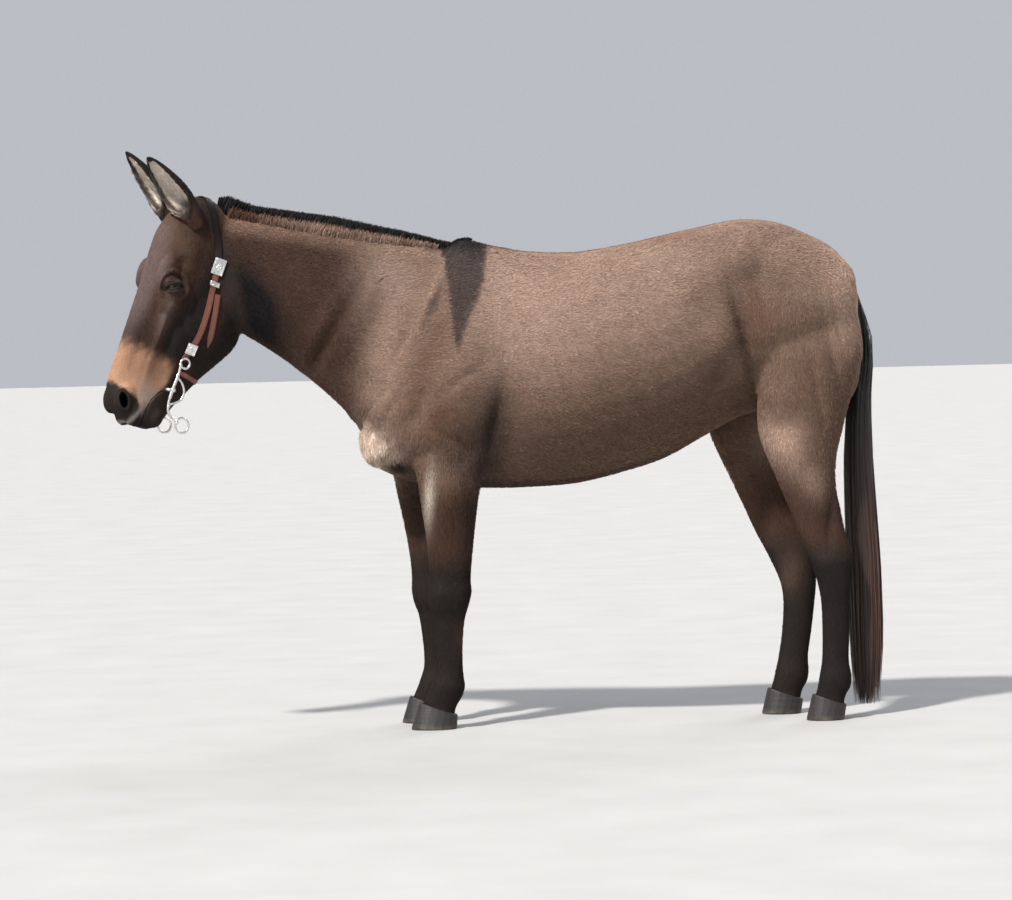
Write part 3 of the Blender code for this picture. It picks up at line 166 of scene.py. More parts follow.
# Masses that stand out from the lofts, on both sides: middle, half sizes, lean about Y in degrees.
MASSES = (
    ((-0.330, 0.066, 0.872), (0.070, 0.066, 0.095), 12),  # breast
    ((-0.190, 0.120, 0.880), (0.130, 0.070, 0.090), 24),  # upper arm
    ((0.900, 0.120, 1.250), (0.200, 0.130, 0.190), 10),  # croup
    ((1.030, 0.092, 1.130), (0.072, 0.082, 0.190), -6),  # buttock
)

# Soft muscles, bones and hollows, on both sides: middle, reach, lean in degrees, how far the skin rises.
SWELLS = (
    ((-0.215, 0.190, 1.180), (0.045, 0.12, 0.250), 28, 0.013),  # ridge of the shoulder blade
    ((-0.345, 0.150, 0.960), (0.070, 0.09, 0.080), 20, 0.020),  # point of the shoulder
    ((-0.110, 0.190, 0.970), (0.110, 0.12, 0.120), -25, 0.022),  # triceps
    ((-0.010, 0.220, 1.120), (0.050, 0.12, 0.260), 14, -0.012),  # hollow behind the shoulder
    ((-0.330, 0.130, 1.240), (0.050, 0.12, 0.200), 28, -0.014),  # dip before the shoulder
    ((-0.215, 0.190, 0.960), (0.030, 0.10, 0.110), 26, -0.010),  # line above the upper arm
    ((-0.052, 0.150, 0.800), (0.040, 0.06, 0.050), 0, 0.012),  # elbow
    ((-0.500, 0.100, 1.200), (0.300, 0.08, 0.040), -58, 0.008),  # neck muscle down to the shoulder
    ((-0.520, 0.090, 1.110), (0.260, 0.06, 0.030), -58, -0.010),  # groove of the vein
    ((0.735, 0.215, 1.370), (0.070, 0.09, 0.055), 0, 0.022),  # point of the hip
    ((0.640, 0.240, 1.240), (0.085, 0.12, 0.110), 0, -0.020),  # hollow of the flank
    ((0.690, 0.240, 1.030), (0.050, 0.10, 0.130), 24, -0.012),  # fold before the thigh
    ((0.880, 0.240, 1.160), (0.130, 0.12, 0.170), 0, 0.016),  # thigh
    ((1.010, 0.180, 1.080), (0.022, 0.10, 0.170), -12, -0.010),  # line down the back of the thigh
    ((0.330, 0.270, 0.960), (0.300, 0.12, 0.160), 0, 0.008),  # belly's side
    ((1.080, 0.050, 1.340), (0.050, 0.04, 0.050), 0, 0.010),  # seat bone
)
FINE_SWELLS = (  # the same, smaller, for the skin alone
    ((-0.165, 0.185, 1.290), (0.020, 0.10, 0.110), 24, 0.0070),  # spine of the shoulder blade
    ((-0.262, 0.180, 1.150), (0.020, 0.10, 0.130), 26, -0.0080),  # front edge of the shoulder
    ((0.012, 0.210, 0.930), (0.022, 0.10, 0.130), 12, -0.0110),  # fold behind the elbow
    ((-0.075, 0.190, 1.050), (0.110, 0.10, 0.020), -36, -0.0060),  # under the shoulder muscles
    ((-0.395, 0.060, 0.905), (0.050, 0.08, 0.014), 20, -0.0070),  # fold of the breast
    ((-0.300, 0.130, 0.950), (0.016, 0.08, 0.090), 30, -0.0060),
    ((-0.130, 0.160, 0.870), (0.060, 0.08, 0.016), 30, -0.0060),  # over the forearm
    ((0.732, 0.230, 1.200), (0.014, 0.10, 0.110), -14, -0.0070),  # fold of the flank
    ((0.775, 0.220, 1.010), (0.016, 0.10, 0.100), -20, -0.0070),
    ((0.955, 0.200, 1.000), (0.016, 0.10, 0.170), -12, -0.0070),  # along the thigh's muscles
    ((1.020, 0.160, 1.220), (0.014, 0.10, 0.120), -10, -0.0050),
    ((0.845, 0.220, 0.930), (0.040, 0.10, 0.060), 0, 0.0060),  # kneecap
    ((-0.690, 0.070, 1.290), (0.012, 0.06, 0.070), -30, -0.0045),  # folds of the throat
    ((-0.655, 0.075, 1.270), (0.012, 0.06, 0.080), -30, 0.0030),
    ((-0.610, 0.080, 1.230), (0.014, 0.06, 0.090), -32, -0.0030),
)
RIBS = tuple(
    ((0.115 + 0.070 * k, 0.270, 1.090 - 0.008 * k), (0.016, 0.12, 0.190), -12, 0.0020) for k in range(8)
)
HIND_SWELLS = (  # height up the hind leg, share across it, y, reach, lean, rise
    (0.960, 0.22, 0.230, (0.060, 0.08, 0.070), 0, 0.016),  # stifle
    (0.760, 0.34, 0.215, (0.050, 0.07, 0.110), 14, 0.012),  # gaskin
    (0.600, 0.74, 0.175, (0.020, 0.06, 0.100), 6, -0.008),  # hollow before the hamstring
    (0.470, 0.30, 0.175, (0.034, 0.05, 0.035), 0, 0.005),  # hock joint
)
FRONT_SWELLS = (  # the same on the front leg
    (0.670, 0.42, 0.190, (0.048, 0.06, 0.110), 4, 0.012),  # forearm
    (0.400, 0.30, 0.165, (0.034, 0.05, 0.034), 0, 0.005),  # knee
)

# The head's hair and colours end at a plane: a place on it, and the way from it to the neck
HEAD_END = (-0.785, -0.010, 1.385)
HEAD_END_WAY = (0.978, 0.208, 0.185)

# Each head section: distance along the face, depths of the face line and the jaw line,
# half widths of the face and of the jaw, fullness.
HEAD = (
    (-0.036, 0.012, 0.066, 0.024, 0.024, 2.0),
    (-0.024, -0.010, 0.092, 0.044, 0.042, 2.1),
    (0.000, -0.034, 0.118, 0.060, 0.054, 2.2),
    (0.035, -0.056, 0.140, 0.070, 0.062, 2.3),
    (0.100, -0.078, 0.176, 0.080, 0.066, 2.5),
    (0.170, -0.081, 0.216, 0.089, 0.068, 2.6),
    (0.240, -0.081, 0.252, 0.087, 0.070, 2.6),
    (0.300, -0.085, 0.270, 0.074, 0.068, 2.6),
    (0.360, -0.089, 0.266, 0.064, 0.060, 2.6),
    (0.420, -0.092, 0.230, 0.056, 0.050, 2.5),
    (0.480, -0.095, 0.189, 0.050, 0.042, 2.4),
    (0.540, -0.098, 0.155, 0.049, 0.038, 2.4),
    (0.590, -0.096, 0.128, 0.052, 0.038, 2.3),
    (0.628, -0.082, 0.112, 0.053, 0.038, 2.3),
    (0.658, -0.052, 0.094, 0.047, 0.035, 2.2),
    (0.680, -0.014, 0.068, 0.034, 0.026, 2.1),
)
HEAD_MASSES = (  # middle in face measures, half sizes; on both sides
    ((0.226, -0.044, 0.071), (0.056, 0.032, 0.026)),  # brow
    ((0.300, -0.008, 0.062), (0.040, 0.036, 0.024)),  # bone under the eye
    ((0.290, 0.125, 0.046), (0.115, 0.105, 0.034)),  # cheek
    ((0.618, -0.046, 0.040), (0.046, 0.032, 0.018)),  # nostril rim
    ((0.640, -0.002, 0.028), (0.050, 0.034, 0.026)),  # upper lip
    ((0.636, 0.070, 0.016), (0.038, 0.032, 0.028)),  # lower lip and chin
)
HEAD_SWELLS = (  # middle in face measures, reach, rise; on both sides
    ((0.150, 0.010, 0.080), (0.050, 0.034, 0.06), 0.006),  # temple
    ((0.182, -0.006, 0.084), (0.030, 0.022, 0.05), -0.007),  # hollow above the eye
    ((0.400, -0.004, 0.056), (0.130, 0.014, 0.05), 0.008),  # facial crest
    ((0.400, 0.036, 0.056), (0.100, 0.024, 0.05), -0.007),  # below the facial crest
    ((0.450, -0.050, 0.050), (0.090, 0.024, 0.04), -0.005),  # side of the nose
    ((0.545, 0.070, 0.050), (0.030, 0.030, 0.04), 0.004),  # corner of the lips
    ((0.480, 0.110, 0.050), (0.090, 0.026, 0.05), -0.005),  # between the jaw's bars
)

# Eyes
EYE = (0.262, -0.014, 0.077)  # middle of the ball, in face measures
EYE_RADIUS = 0.0225
LID = 0.0035  # thickness of the lids over the ball
EYE_TILT = math.radians(24)  # the opening's slant to the face line's upright
EYE_FORWARD = 0.30  # how far the eye looks forward, against outward

# Nostrils and mouth
NOSTRIL = (0.626, -0.050, 0.050)
NOSTRIL_TURN = math.radians(32)
MOUTH_LINE = ((0.553, 0.068), (0.569, 0.053), (0.602, 0.034), (0.642, 0.027), (0.672, 0.029))
MOUTH_DEPTH, MOUTH_GAPE = 0.012, 0.0024
MOUTH_OUTSIDE = 0.008  # how far its cutter stands out of the lips
MOUTH_MIDDLE = 0.600  # the lips' gap runs towards this point along the face

# Ears, with the head before its turn: x, y, z of the root and the tip
EARS = {
    LEFT: (Vector((-0.093, 0.062, 1.536)), Vector((-0.234, 0.072, 1.716)), math.radians(20)),
    RIGHT: (Vector((-0.108, 0.054, 1.545)), Vector((-0.232, 0.076, 1.738)), math.radians(0)),
}  # root, tip and how far outward the cup opens
EAR_SECTIONS = (  # share of the length, half width, depth behind and before the middle
    (-0.16, 0.028, 0.034, 0.018),
    (0.00, 0.036, 0.044, 0.022),
    (0.12, 0.041, 0.047, 0.021),
    (0.30, 0.044, 0.044, 0.016),
    (0.50, 0.041, 0.036, 0.012),
    (0.70, 0.033, 0.026, 0.010),
    (0.86, 0.023, 0.016, 0.008),
    (0.95, 0.014, 0.010, 0.006),
    (1.00, 0.006, 0.005, 0.003),
)
EAR_BOW = 0.10  # how far the ear bends back, against its length
EAR_CUP = (  # the hollow, the same way
    (0.03, 0.008, 0.008, 0.004),
    (0.10, 0.022, 0.026, 0.018),
    (0.18, 0.033, 0.038, 0.030),
    (0.32, 0.039, 0.039, 0.034),
    (0.50, 0.036, 0.031, 0.030),
    (0.70, 0.028, 0.021, 0.026),
    (0.86, 0.018, 0.011, 0.020),
    (0.94, 0.009, 0.005, 0.012),
)

# Bridle, in face measures
CROWN_MIDDLE = (0.060, 0.076)  # the crown strap runs round this point
CROWN_END = ((0.105, 0.092), (0.158, 0.104))
CHEEK_LINE = ((0.172, 0.106), (0.215, 0.109), (0.300, 0.113), (0.397, 0.113), (0.452, 0.099))
BILLET_LINE = ((0.236, 0.131), (0.310, 0.141), (0.392, 0.156))
CURB_MIDDLE = (0.490, 0.100)  # the curb strap runs round this point
CROWN_WIDTH, CHEEK_WIDTH, CURB_WIDTH = 0.024, 0.019, 0.015
STRAP_RISE, STRAP_BED = 0.0026, 0.0018
BUCKLE_SUNK = 0.0006  # how deep a buckle sits in the strap
BUCKLES = (  # name, middle, length, width, thickness
    ("upper_buckle", (0.157, 0.106), 0.050, 0.036, 0.005),
    ("keeper", (0.210, 0.110), 0.016, 0.034, 0.004),
    ("lower_buckle", (0.414, 0.109), 0.034, 0.034, 0.005),
)
WIRE = 0.0045  # radius of the bit's rods
BIT_OUT = 0.058  # the bit's cheeks hang this far from the head's middle
HOOK, HOOK_RADIUS = (0.462, 0.101), 0.015
REIN_RING, REIN_RING_RADIUS = (0.640, 0.148), 0.022
SHANK = ((0.470, 0.088), (0.500, 0.090), (0.545, 0.086), (0.590, 0.085), (0.620, 0.096), (0.637, 0.130))
LOOP = ((0.508, 0.089), (0.522, 0.110), (0.545, 0.124), (0.570, 0.120), (0.588, 0.098), (0.592, 0.088))
MOUTHPIECE = ((0.548, 0.087, 0.0), (0.551, 0.076, 0.006), (0.554, 0.068, 0.022))  # the last goes inward
SHANK_KNOBS = (((0.548, 0.087), 0.0085), (SHANK[0], 0.006), (SHANK[-1], 0.0056), ((0.600, 0.088), 0.0058))

# A strap's section from its lower edge to its middle: share of the half width, share of the rise, lightness.
# The lightness is partly the leather's dark edge and creased line, partly painted shade low down and in the
# groove.
STRAP_EDGE = (
    (-1.00, 0.35, 0.45), (-0.95, 0.80, 0.60), (-0.86, 1.00, 0.85), (-0.74, 0.93, 0.55), (-0.60, 1.00, 1.00),
)
STRAP_CROWN = (1.06, 1.15)  # the middle's rise and lightness, a painted highlight
STRAP_BED_SHADE = 0.35  # lightness of the edge that lies in the bed: painted shade where the strap meets the skin

# Mane and tail
MANE_BRUSH = (  # x, top z and half width of the clipped mane
    (-0.806, 1.600, 0.010), (-0.790, 1.604, 0.012), (-0.710, 1.573, 0.012), (-0.591, 1.554, 0.012),
    (-0.471, 1.535, 0.011), (-0.352, 1.507, 0.010), (-0.233, 1.480, 0.009), (-0.160, 1.459, 0.009),
    (-0.110, 1.448, 0.009), (-0.050, 1.440, 0.009),
)
TAIL_FORM = (  # z, rear x, depth and half width of the tail
    (1.330, 1.098, 0.030, 0.014), (1.275, 1.116, 0.034, 0.018), (1.216, 1.130, 0.040, 0.024),
    (1.140, 1.145, 0.056, 0.034), (1.036, 1.146, 0.068, 0.044), (0.946, 1.136, 0.072, 0.050),
    (0.766, 1.139, 0.088, 0.056), (0.585, 1.149, 0.098, 0.058), (0.465, 1.156, 0.102, 0.058),
    (0.285, 1.160, 0.104, 0.056), (0.195, 1.158, 0.100, 0.052), (0.040, 1.146, 0.082, 0.040),
)
MANE_STRANDS, FRINGE_STRANDS = 9000, 9000
MANE_STRAND_WIDTH, FRINGE_STRAND_WIDTH = 0.0032, 0.0019
TAIL_STRANDS, TAIL_STEPS = 2600, 15

# Fine skin: sizes in metres, shares and counts
SKIN_VOXEL = 0.0040
SKIN_ROUNDS, CREASE_ROUNDS = 45, 160  # of smoothing, all over and where a leg meets the trunk
SKIN_FACES = 200000
RIM_HALF, RIM_UP, RIM_DOWN = 0.0225, 0.0078, 0.0078  # half sizes of the opening between the lids
LIDS_REACH = (0.048, 0.058, 0.036)  # of the fine skin round it: towards the nose or the ear, up, down
LID_POINT = 1.15  # over 1, the opening's corners are more pointed than an oval's
NOSTRIL_RIM = (0.0260, 0.0135)
NOSTRIL_REACH = (0.042, 0.030, 0.030)
PATCH_POINTS, PATCH_LEVELS = 128, 42  # round a patch of fine skin, and outwards
PATCH_LOOK = 0.06  # the patch's points look for the skin from this height
PATCH_BED = 0.0024  # and lie this far under it

# Coat
TUFTS = 660000
TUFTS_MOST = 97000  # in one piece of the coat
EAR_TUFTS = 24000
PATCH_TUFTS = {"eye": 7000, "nostril": 3500}
PATCH_BALD = {"eye": (1.20, 1.45), "nostril": (1.25, 1.9)}  # shares of the rim where the hair begins
TUFT_SLENDER = 0.15  # a tuft's width, against its length
PHASES = 6.28  # random waves start anywhere up to this

# Stage and camera
SUNS = (  # name, where it shines from, strength, width in degrees, colour
    ("key", (-0.45, -0.70, 0.90), 4.7, 4.0, (1.0, 0.965, 0.92)),
    ("back", (0.5, 0.8, 0.55), 0.9, 25.0, (0.95, 0.97, 1.0)),
)
FILL_PLACE, FILL_AIM = Vector((-5.5, -5.0, 2.6)), Vector((-0.2, 0.0, 0.9))
FLOOR_SIZE = 90.0
PIXEL, PHOTO_WIDTH = 0.003, 1012  # metres for each of the photo's pixels, and how many it is wide
SENSOR = 36.0
CAMERA_PLACE, CAMERA_AIM = (0.0395, -13.0, 1.2), Vector((0.0395, 0.0, 0.8227))
CAMERA_ROLL = math.radians(1.4)


def add_object(name, data):
    """An object in the scene."""
    obj = bpy.data.objects.new(name, data)
    bpy.context.scene.collection.objects.link(obj)
    return obj


def mesh_from(bm, name):
    """A mesh from a bmesh, its faces turned outwards."""
    bmesh.ops.recalc_face_normals(bm, faces=bm.faces)
    mesh = bpy.data.meshes.new(name)
    bm.to_mesh(mesh)
    bm.free()
    return mesh


def helper(bm):
    """A piece that only cuts others."""
    return add_object("cutter", mesh_from(bm, "cutter"))


def modified(obj, kind, **settings):
    """The object with one modifier applied."""
    modifier = obj.modifiers.new(kind.title(), kind)
    for key, value in settings.items():
        setattr(modifier, key, value)
    graph = bpy.context.evaluated_depsgraph_get()
    old = obj.data
    obj.data = bpy.data.meshes.new_from_object(obj.evaluated_get(graph))
    obj.modifiers.clear()
    if old.users == 0:
        bpy.data.meshes.remove(old)


def cut(obj, cutter):
    """One solid cut by a helper, which goes."""
    modified(obj, "BOOLEAN", operation="DIFFERENCE", object=cutter, solver="MANIFOLD")
    bpy.data.objects.remove(cutter, do_unlink=True)


def smoothed(mesh):
    """The mesh with smooth shading."""
    for polygon in mesh.polygons:
        polygon.use_smooth = True
    return mesh


def smooth_by_angle(obj, degrees=40):
    """Smooth shading but for sharp edges."""
    smoothed(obj.data).set_sharp_from_angle(angle=math.radians(degrees))


def power(value, exponent):
    """A signed power, for sections fuller or more peaked than an ellipse."""
    return math.copysign(abs(value) ** exponent, value)


def curve_value(a, b, c, d, t):
    """A value between b and c, on a smooth curve that also passes through a and d."""
    square = (2 * a - 5 * b + 4 * c - d) * t * t
    cube = (3 * b - a - 3 * c + d) * t ** 3
    return 0.5 * (2 * b + (c - a) * t + square + cube)


def smooth_rows(rows, steps):
    """Rows of sizes with others between them, on a curve through them all."""
    made = []
    last = len(rows) - 1
    for i in range(last):
        near = [rows[min(max(k, 0), last)] for k in range(i - 1, i + 3)]
        for k in range(steps):
            made.append(tuple(curve_value(*column, k / steps) for column in zip(*near)))
    made.append(tuple(rows[-1]))
    return made


def row_at(rows, key, column=0):
    """A row read between two others, at a value of one column."""
    for first, second in zip(rows, rows[1:]):
        low, high = sorted((first[column], second[column]))
        if low <= key <= high:
            t = (key - first[column]) / (second[column] - first[column])
            return tuple(p + (q - p) * t for p, q in zip(first, second))
    return rows[0] if abs(key - rows[0][column]) < abs(key - rows[-1][column]) else rows[-1]


def add_loft(bm, rings):
    """A closed skin through rings of points, with a fan on each end."""
    loops = [[bm.verts.new(point) for point in ring] for ring in rings]
    count = len(loops[0])
    for lower, upper in zip(loops, loops[1:]):
        for i in range(count):
            j = (i + 1) % count
            bm.faces.new((lower[i], lower[j], upper[j], upper[i]))
    for loop in (loops[0], loops[-1]):
        middle = bm.verts.new(sum((v.co for v in loop), Vector()) / count)
        for i in range(count):
            bm.faces.new((loop[i], loop[(i + 1) % count], middle))


def section(high, low, half_width, widest, full_high, full_low, count=28):
    """A section from one point to another, with its own fullness on each side of its widest part."""
    axis = low - high
    middle = high + axis * widest
    points = []
    for k in range(count):
        angle = 2 * math.pi * k / count
        along, across = math.cos(angle), math.sin(angle)
        full = full_high if along > 0 else full_low
        reach = -widest if along > 0 else 1 - widest
        side = Vector((0, half_width * power(across, 2 / full), 0))
        points.append(middle + axis * reach * abs(along) ** (2 / full) + side)
    return points


def add_mass(bm, matrix, half_sizes, segments=24):
    """A rounded mass."""
    matrix = matrix @ Matrix.Diagonal((*half_sizes, 1.0))
    bmesh.ops.create_uvsphere(bm, u_segments=segments, v_segments=segments // 2, radius=1.0, matrix=matrix)


def at(x, y, z, lean=0.0):
    """A place, leaning about Y by degrees, its top towards the tail."""
    return Matrix.Translation((x, y, z)) @ Matrix.Rotation(math.radians(lean), 4, "Y")


HEAD_TURN = Matrix.Translation(HEAD_PIVOT) @ Matrix.Rotation(HEAD_YAW, 4, "Z")


def face_matrix():
    """From face measures (along, behind, out to the right) to the model."""
    along = Vector((-math.cos(FACE_PITCH), 0, -math.sin(FACE_PITCH)))
    behind = Vector((math.sin(FACE_PITCH), 0, -math.cos(FACE_PITCH)))
    basis = Matrix((along, behind, Vector((0, 1, 0)))).transposed().to_4x4()
    return HEAD_TURN @ Matrix.Translation((POLL[0], 0, POLL[1])) @ basis


FACE = face_matrix()


def on_face(along, behind, across=0.0):
    """A point given in face measures."""
    return FACE @ Vector((along, behind, across))


def face_direction(along, behind, across):
    """A unit direction given in face measures."""
    return (FACE.to_3x3() @ Vector((along, behind, across))).normalized()


def front_rows(side):
    """The front leg's sections on one side, with its lean."""
    foot, rate = FRONT_LEAN[side]
    return [(z, a + foot + rate * z, b + foot + rate * z, y, w, full) for z, a, b, y, w, full in FRONT_LEG]


def leg_rings(rows, side):
    """Level sections down a leg."""
    return [
        section(Vector((a, side * y, z)), Vector((b, side * y, z)), w, 0.5, full, full, 20)
        for z, a, b, y, w, full in smooth_rows(rows, 4)
    ]


def neck_rings():
    """Sections up the neck."""
    return [
        section(Vector((cx, y, cz)), Vector((tx, y, tz)), w, widest, crest, throat)
        for cx, cz, tx, tz, y, w, widest, crest, throat in smooth_rows(NECK, 3)
    ]


def head_rings():
    """Sections down the face, each with one half width for the face and one for the jaw."""
    rings = []
    for along, face, jaw, face_width, jaw_width, full in smooth_rows(HEAD, 3):
        ring = []
        for k in range(32):
            angle = 2 * math.pi * k / 32
            up, out = power(math.cos(angle), 2 / full), power(math.sin(angle), 2 / full)
            width = face_width + (jaw_width - face_width) * (1 - up) / 2
            ring.append(on_face(along, (face + jaw) / 2 - up * (jaw - face) / 2, out * width))
        rings.append(ring)
    return rings


def raw_form():
    """All lofts and masses of the flesh, still overlapping."""
    bm = bmesh.new()
    add_loft(bm, [
        section(Vector((x, 0, top)), Vector((x, 0, low)), w, widest, above, below)
        for x, top, low, w, widest, above, below in smooth_rows(TRUNK, 3)
    ])
    add_loft(bm, neck_rings())
    add_loft(bm, head_rings())
    for _, side in SIDES:
        add_loft(bm, leg_rings(front_rows(side), side))
        add_loft(bm, leg_rings(HIND_LEG[side], side))
        for (x, y, z), sizes, lean in MASSES:
            add_mass(bm, at(x, side * y, z, lean), sizes)
        for (along, behind, out), sizes in HEAD_MASSES:
            add_mass(bm, FACE @ Matrix.Translation((along, behind, side * out)), sizes)
        add_mass(bm, eye_matrix(side), (EYE_RADIUS + LID,) * 3)
    return bm


def eye_matrix(side):
    """The eye's place: x towards its corner near the nose, y up across the lids, z out of the head."""
    out = face_direction(-0.04, -EYE_FORWARD, side)
    along = face_direction(math.sin(EYE_TILT), -math.cos(EYE_TILT), 0)
    along = (along - out * along.dot(out)).normalized()
    up = out.cross(along)
    if up.z < 0:
        up = -up
    place = Matrix((along, up, out)).transposed().to_4x4()
    place.translation = on_face(EYE[0], EYE[1], side * EYE[2])
    return place


def swell_places():
    """Each soft muscle or hollow: its matrix and how far it raises the skin."""
    for _, side in SIDES:
        for (x, y, z), reach, lean, rise in SWELLS + FINE_SWELLS + RIBS:
            yield at(x, side * y, z, lean) @ Matrix.Diagonal((*reach, 1.0)), rise
        for rows, swells in ((HIND_LEG[side], HIND_SWELLS), (front_rows(side), FRONT_SWELLS)):
            for height, share, y, reach, lean, rise in swells:
                row = row_at(rows, height)
                x = row[1] + (row[2] - row[1]) * share
                yield at(x, side * y, height, lean) @ Matrix.Diagonal((*reach, 1.0)), rise
        for (along, behind, out), reach, rise in HEAD_SWELLS:
            place = FACE @ Matrix.Translation((along, behind, side * out))
            yield place @ Matrix.Diagonal((*reach, 1.0)), rise


def arrays(mesh):
    """Points, normals and triangles of a mesh."""
    mesh.calc_loop_triangles()
    points = numpy.empty(len(mesh.vertices) * 3, numpy.float32)
    normals = numpy.empty_like(points)
    corners = numpy.empty(len(mesh.loop_triangles) * 3, numpy.int32)
    mesh.vertices.foreach_get("co", points)
    mesh.vertices.foreach_get("normal", normals)
    mesh.loop_triangles.foreach_get("vertices", corners)
    points, normals = (found.reshape(-1, 3).astype(float) for found in (points, normals))
    return points, normals, corners.reshape(-1, 3)


def place_points(mesh, points):
    """Puts a mesh's points where an array says."""
    mesh.vertices.foreach_set("co", points.astype(numpy.float32).ravel())
    mesh.update()


def moved(points, matrix):
    """Points moved by a matrix."""
    grid = numpy.array(matrix)
    return points @ grid[:3, :3].T + grid[:3, 3]


def swell(mesh):
    """Raises the soft muscles and sinks the hollows."""
    points, normals, _ = arrays(mesh)
    rise = numpy.zeros(len(points))
    for matrix, height in swell_places():
        local = moved(points, matrix.inverted())
        rise += height * numpy.exp(-1.6 * (local**2).sum(axis=1))
    place_points(mesh, points + normals * rise[:, None])


def islands(obj):
    """The separate closed surfaces of a mesh, each as a list of face indices."""
    bm = bmesh.new()
    bm.from_mesh(obj.data)
    seen, found = set(), []
    for face in bm.faces:
        if face.index in seen:
            continue
        seen.add(face.index)
        island, front = [], [face]
        while front:
            here = front.pop()
            island.append(here.index)
            for edge in here.edges:
                for other in edge.link_faces:
                    if other.index not in seen:
                        seen.add(other.index)
                        front.append(other)
        found.append(island)
    bm.free()
    return found


def only_faces(obj, kept):
    """The object's mesh without any other faces."""
    bm = bmesh.new()
    bm.from_mesh(obj.data)
    bm.faces.ensure_lookup_table()
    kept = set(kept)
    loose = [face for face in bm.faces if face.index not in kept]
    bmesh.ops.delete(bm, geom=loose, context="FACES")
    bm.to_mesh(obj.data)
    bm.free()


def largest_only(obj):
    """The object without scraps and sealed hollows."""
    found = islands(obj)
    if len(found) > 1:
        only_faces(obj, max(found, key=len))
    return obj


def skin_tree(obj):
    """A search tree of an object's surface."""
    bm = bmesh.new()
    bm.from_mesh(obj.data)
    tree = BVHTree.FromBMesh(bm)
    bm.free()
    return tree


def skin_point(tree, origin, direction):
    """Where a line from outside meets the skin, and the way out there."""
    hit, normal, _, _ = tree.ray_cast(origin, direction)
    return hit, normal


def smooth_path(points, count):
    """Points evenly placed on a smooth line through given ones."""
    rows = smooth_rows([tuple(p) for p in points], 12)
    lengths = [0.0]
    for first, second in zip(rows, rows[1:]):
        lengths.append(lengths[-1] + math.dist(first, second))
    table = [(length, *row) for length, row in zip(lengths, rows)]
    return [row_at(table, lengths[-1] * k / (count - 1))[1:] for k in range(count)]


def cheek_points(tree, line, side, count):
    """Points down the cheek on the skin."""
    inward = face_direction(0, 0, -side)
    points, normals = [], []
    for along, behind in smooth_path(line, count):
        hit, normal = skin_point(tree, on_face(along, behind, side * 0.25), inward)
        points.append(hit)
        normals.append(normal)
    return points, even_normals(normals)


def fan_points(tree, middle, out, count):
    """Points on the skin from the left side round to the right, about a point, by way of one direction."""
    points, normals = [], []
    centre = on_face(*middle)
    for k in range(count):
        angle = math.radians(-90 + 180 * k / (count - 1))
        away = face_direction(out[0] * math.cos(angle), out[1] * math.cos(angle), math.sin(angle))
        hit, normal = skin_point(tree, centre + away * 0.3, -away)
        points.append(hit)
        normals.append(normal)
    return points, even_normals(normals)


def even_normals(normals):
    """Normals averaged with their neighbours."""
    last = len(normals) - 1
    return [
        (normals[max(i - 1, 0)] + normal * 2 + normals[min(i + 1, last)]).normalized()
        for i, normal in enumerate(normals)
    ]


def strap_pieces(tree, finer=4):
    """Each strap's name, points, normals and width."""
    crown, crown_normals = fan_points(tree, CROWN_MIDDLE, (-1.0, -0.5), 13 * finer)
    left, left_normals = cheek_points(tree, CROWN_END, LEFT, 3 * finer)
    right, right_normals = cheek_points(tree, CROWN_END, RIGHT, 3 * finer)
    points = left[::-1] + crown + right
    normals = left_normals[::-1] + crown_normals + right_normals
    yield "crown_strap", points, normals, CROWN_WIDTH
    points, normals = fan_points(tree, CURB_MIDDLE, (0.1, 1.0), 11 * finer)
    yield "curb_strap", points, normals, CURB_WIDTH
    for name, side in SIDES:
        points, normals = cheek_points(tree, CHEEK_LINE, side, 10 * finer)
        yield f"{name}_cheek_strap", points, normals, CHEEK_WIDTH
        points, normals = cheek_points(tree, BILLET_LINE, side, 5 * finer)
        yield f"{name}_billet", points, normals, CHEEK_WIDTH


def box_at(middle, turn, sizes):
    """A turned box in a place."""
    bm = bmesh.new()
    scale = Matrix.Diagonal((*sizes, 1.0))
    bmesh.ops.create_cube(bm, size=1.0, matrix=Matrix.Translation(middle) @ turn @ scale)
    return bm


def mouth_cutter(tree):
    """The gap between the lips."""
    sides = [cheek_points(tree, MOUTH_LINE, side, 16) for _, side in SIDES]
    front_along, front_behind = MOUTH_LINE[-1]
    front, _ = skin_point(tree, on_face(front_along + 0.25, front_behind, 0), face_direction(-1, 0, 0))
    points = sides[0][0] + [front] + sides[1][0][::-1]
    middle = on_face(MOUTH_MIDDLE, front_behind, 0)
    bm = bmesh.new()
    rings = []
    last = len(points) - 1
    for i, point in enumerate(points):
        along = (points[min(i + 1, last)] - points[max(i - 1, 0)]).normalized()
        inward = middle - point
        inward = (inward - along * along.dot(inward)).normalized()
        thick = along.cross(inward).normalized() * MOUTH_GAPE / 2
        outer, inner = point - inward * MOUTH_OUTSIDE, point + inward * MOUTH_DEPTH
        rings.append([outer - thick * 2, inner - thick, inner + thick, outer + thick * 2])
    add_loft(bm, rings)
    return helper(bm)


def ear_frame(side):
    """The ear's root, its way up, its width and the way its cup opens."""
    root, tip, twist = EARS[side]
    root = HEAD_TURN @ Vector((root.x, side * root.y, root.z))
    up = HEAD_TURN @ Vector((tip.x, side * tip.y, tip.z)) - root
    opening = face_direction(-0.1, -math.cos(twist), side * math.sin(twist))
    opening = (opening - up * opening.dot(up) / up.length_squared).normalized()
    return root, up, up.normalized().cross(opening), opening


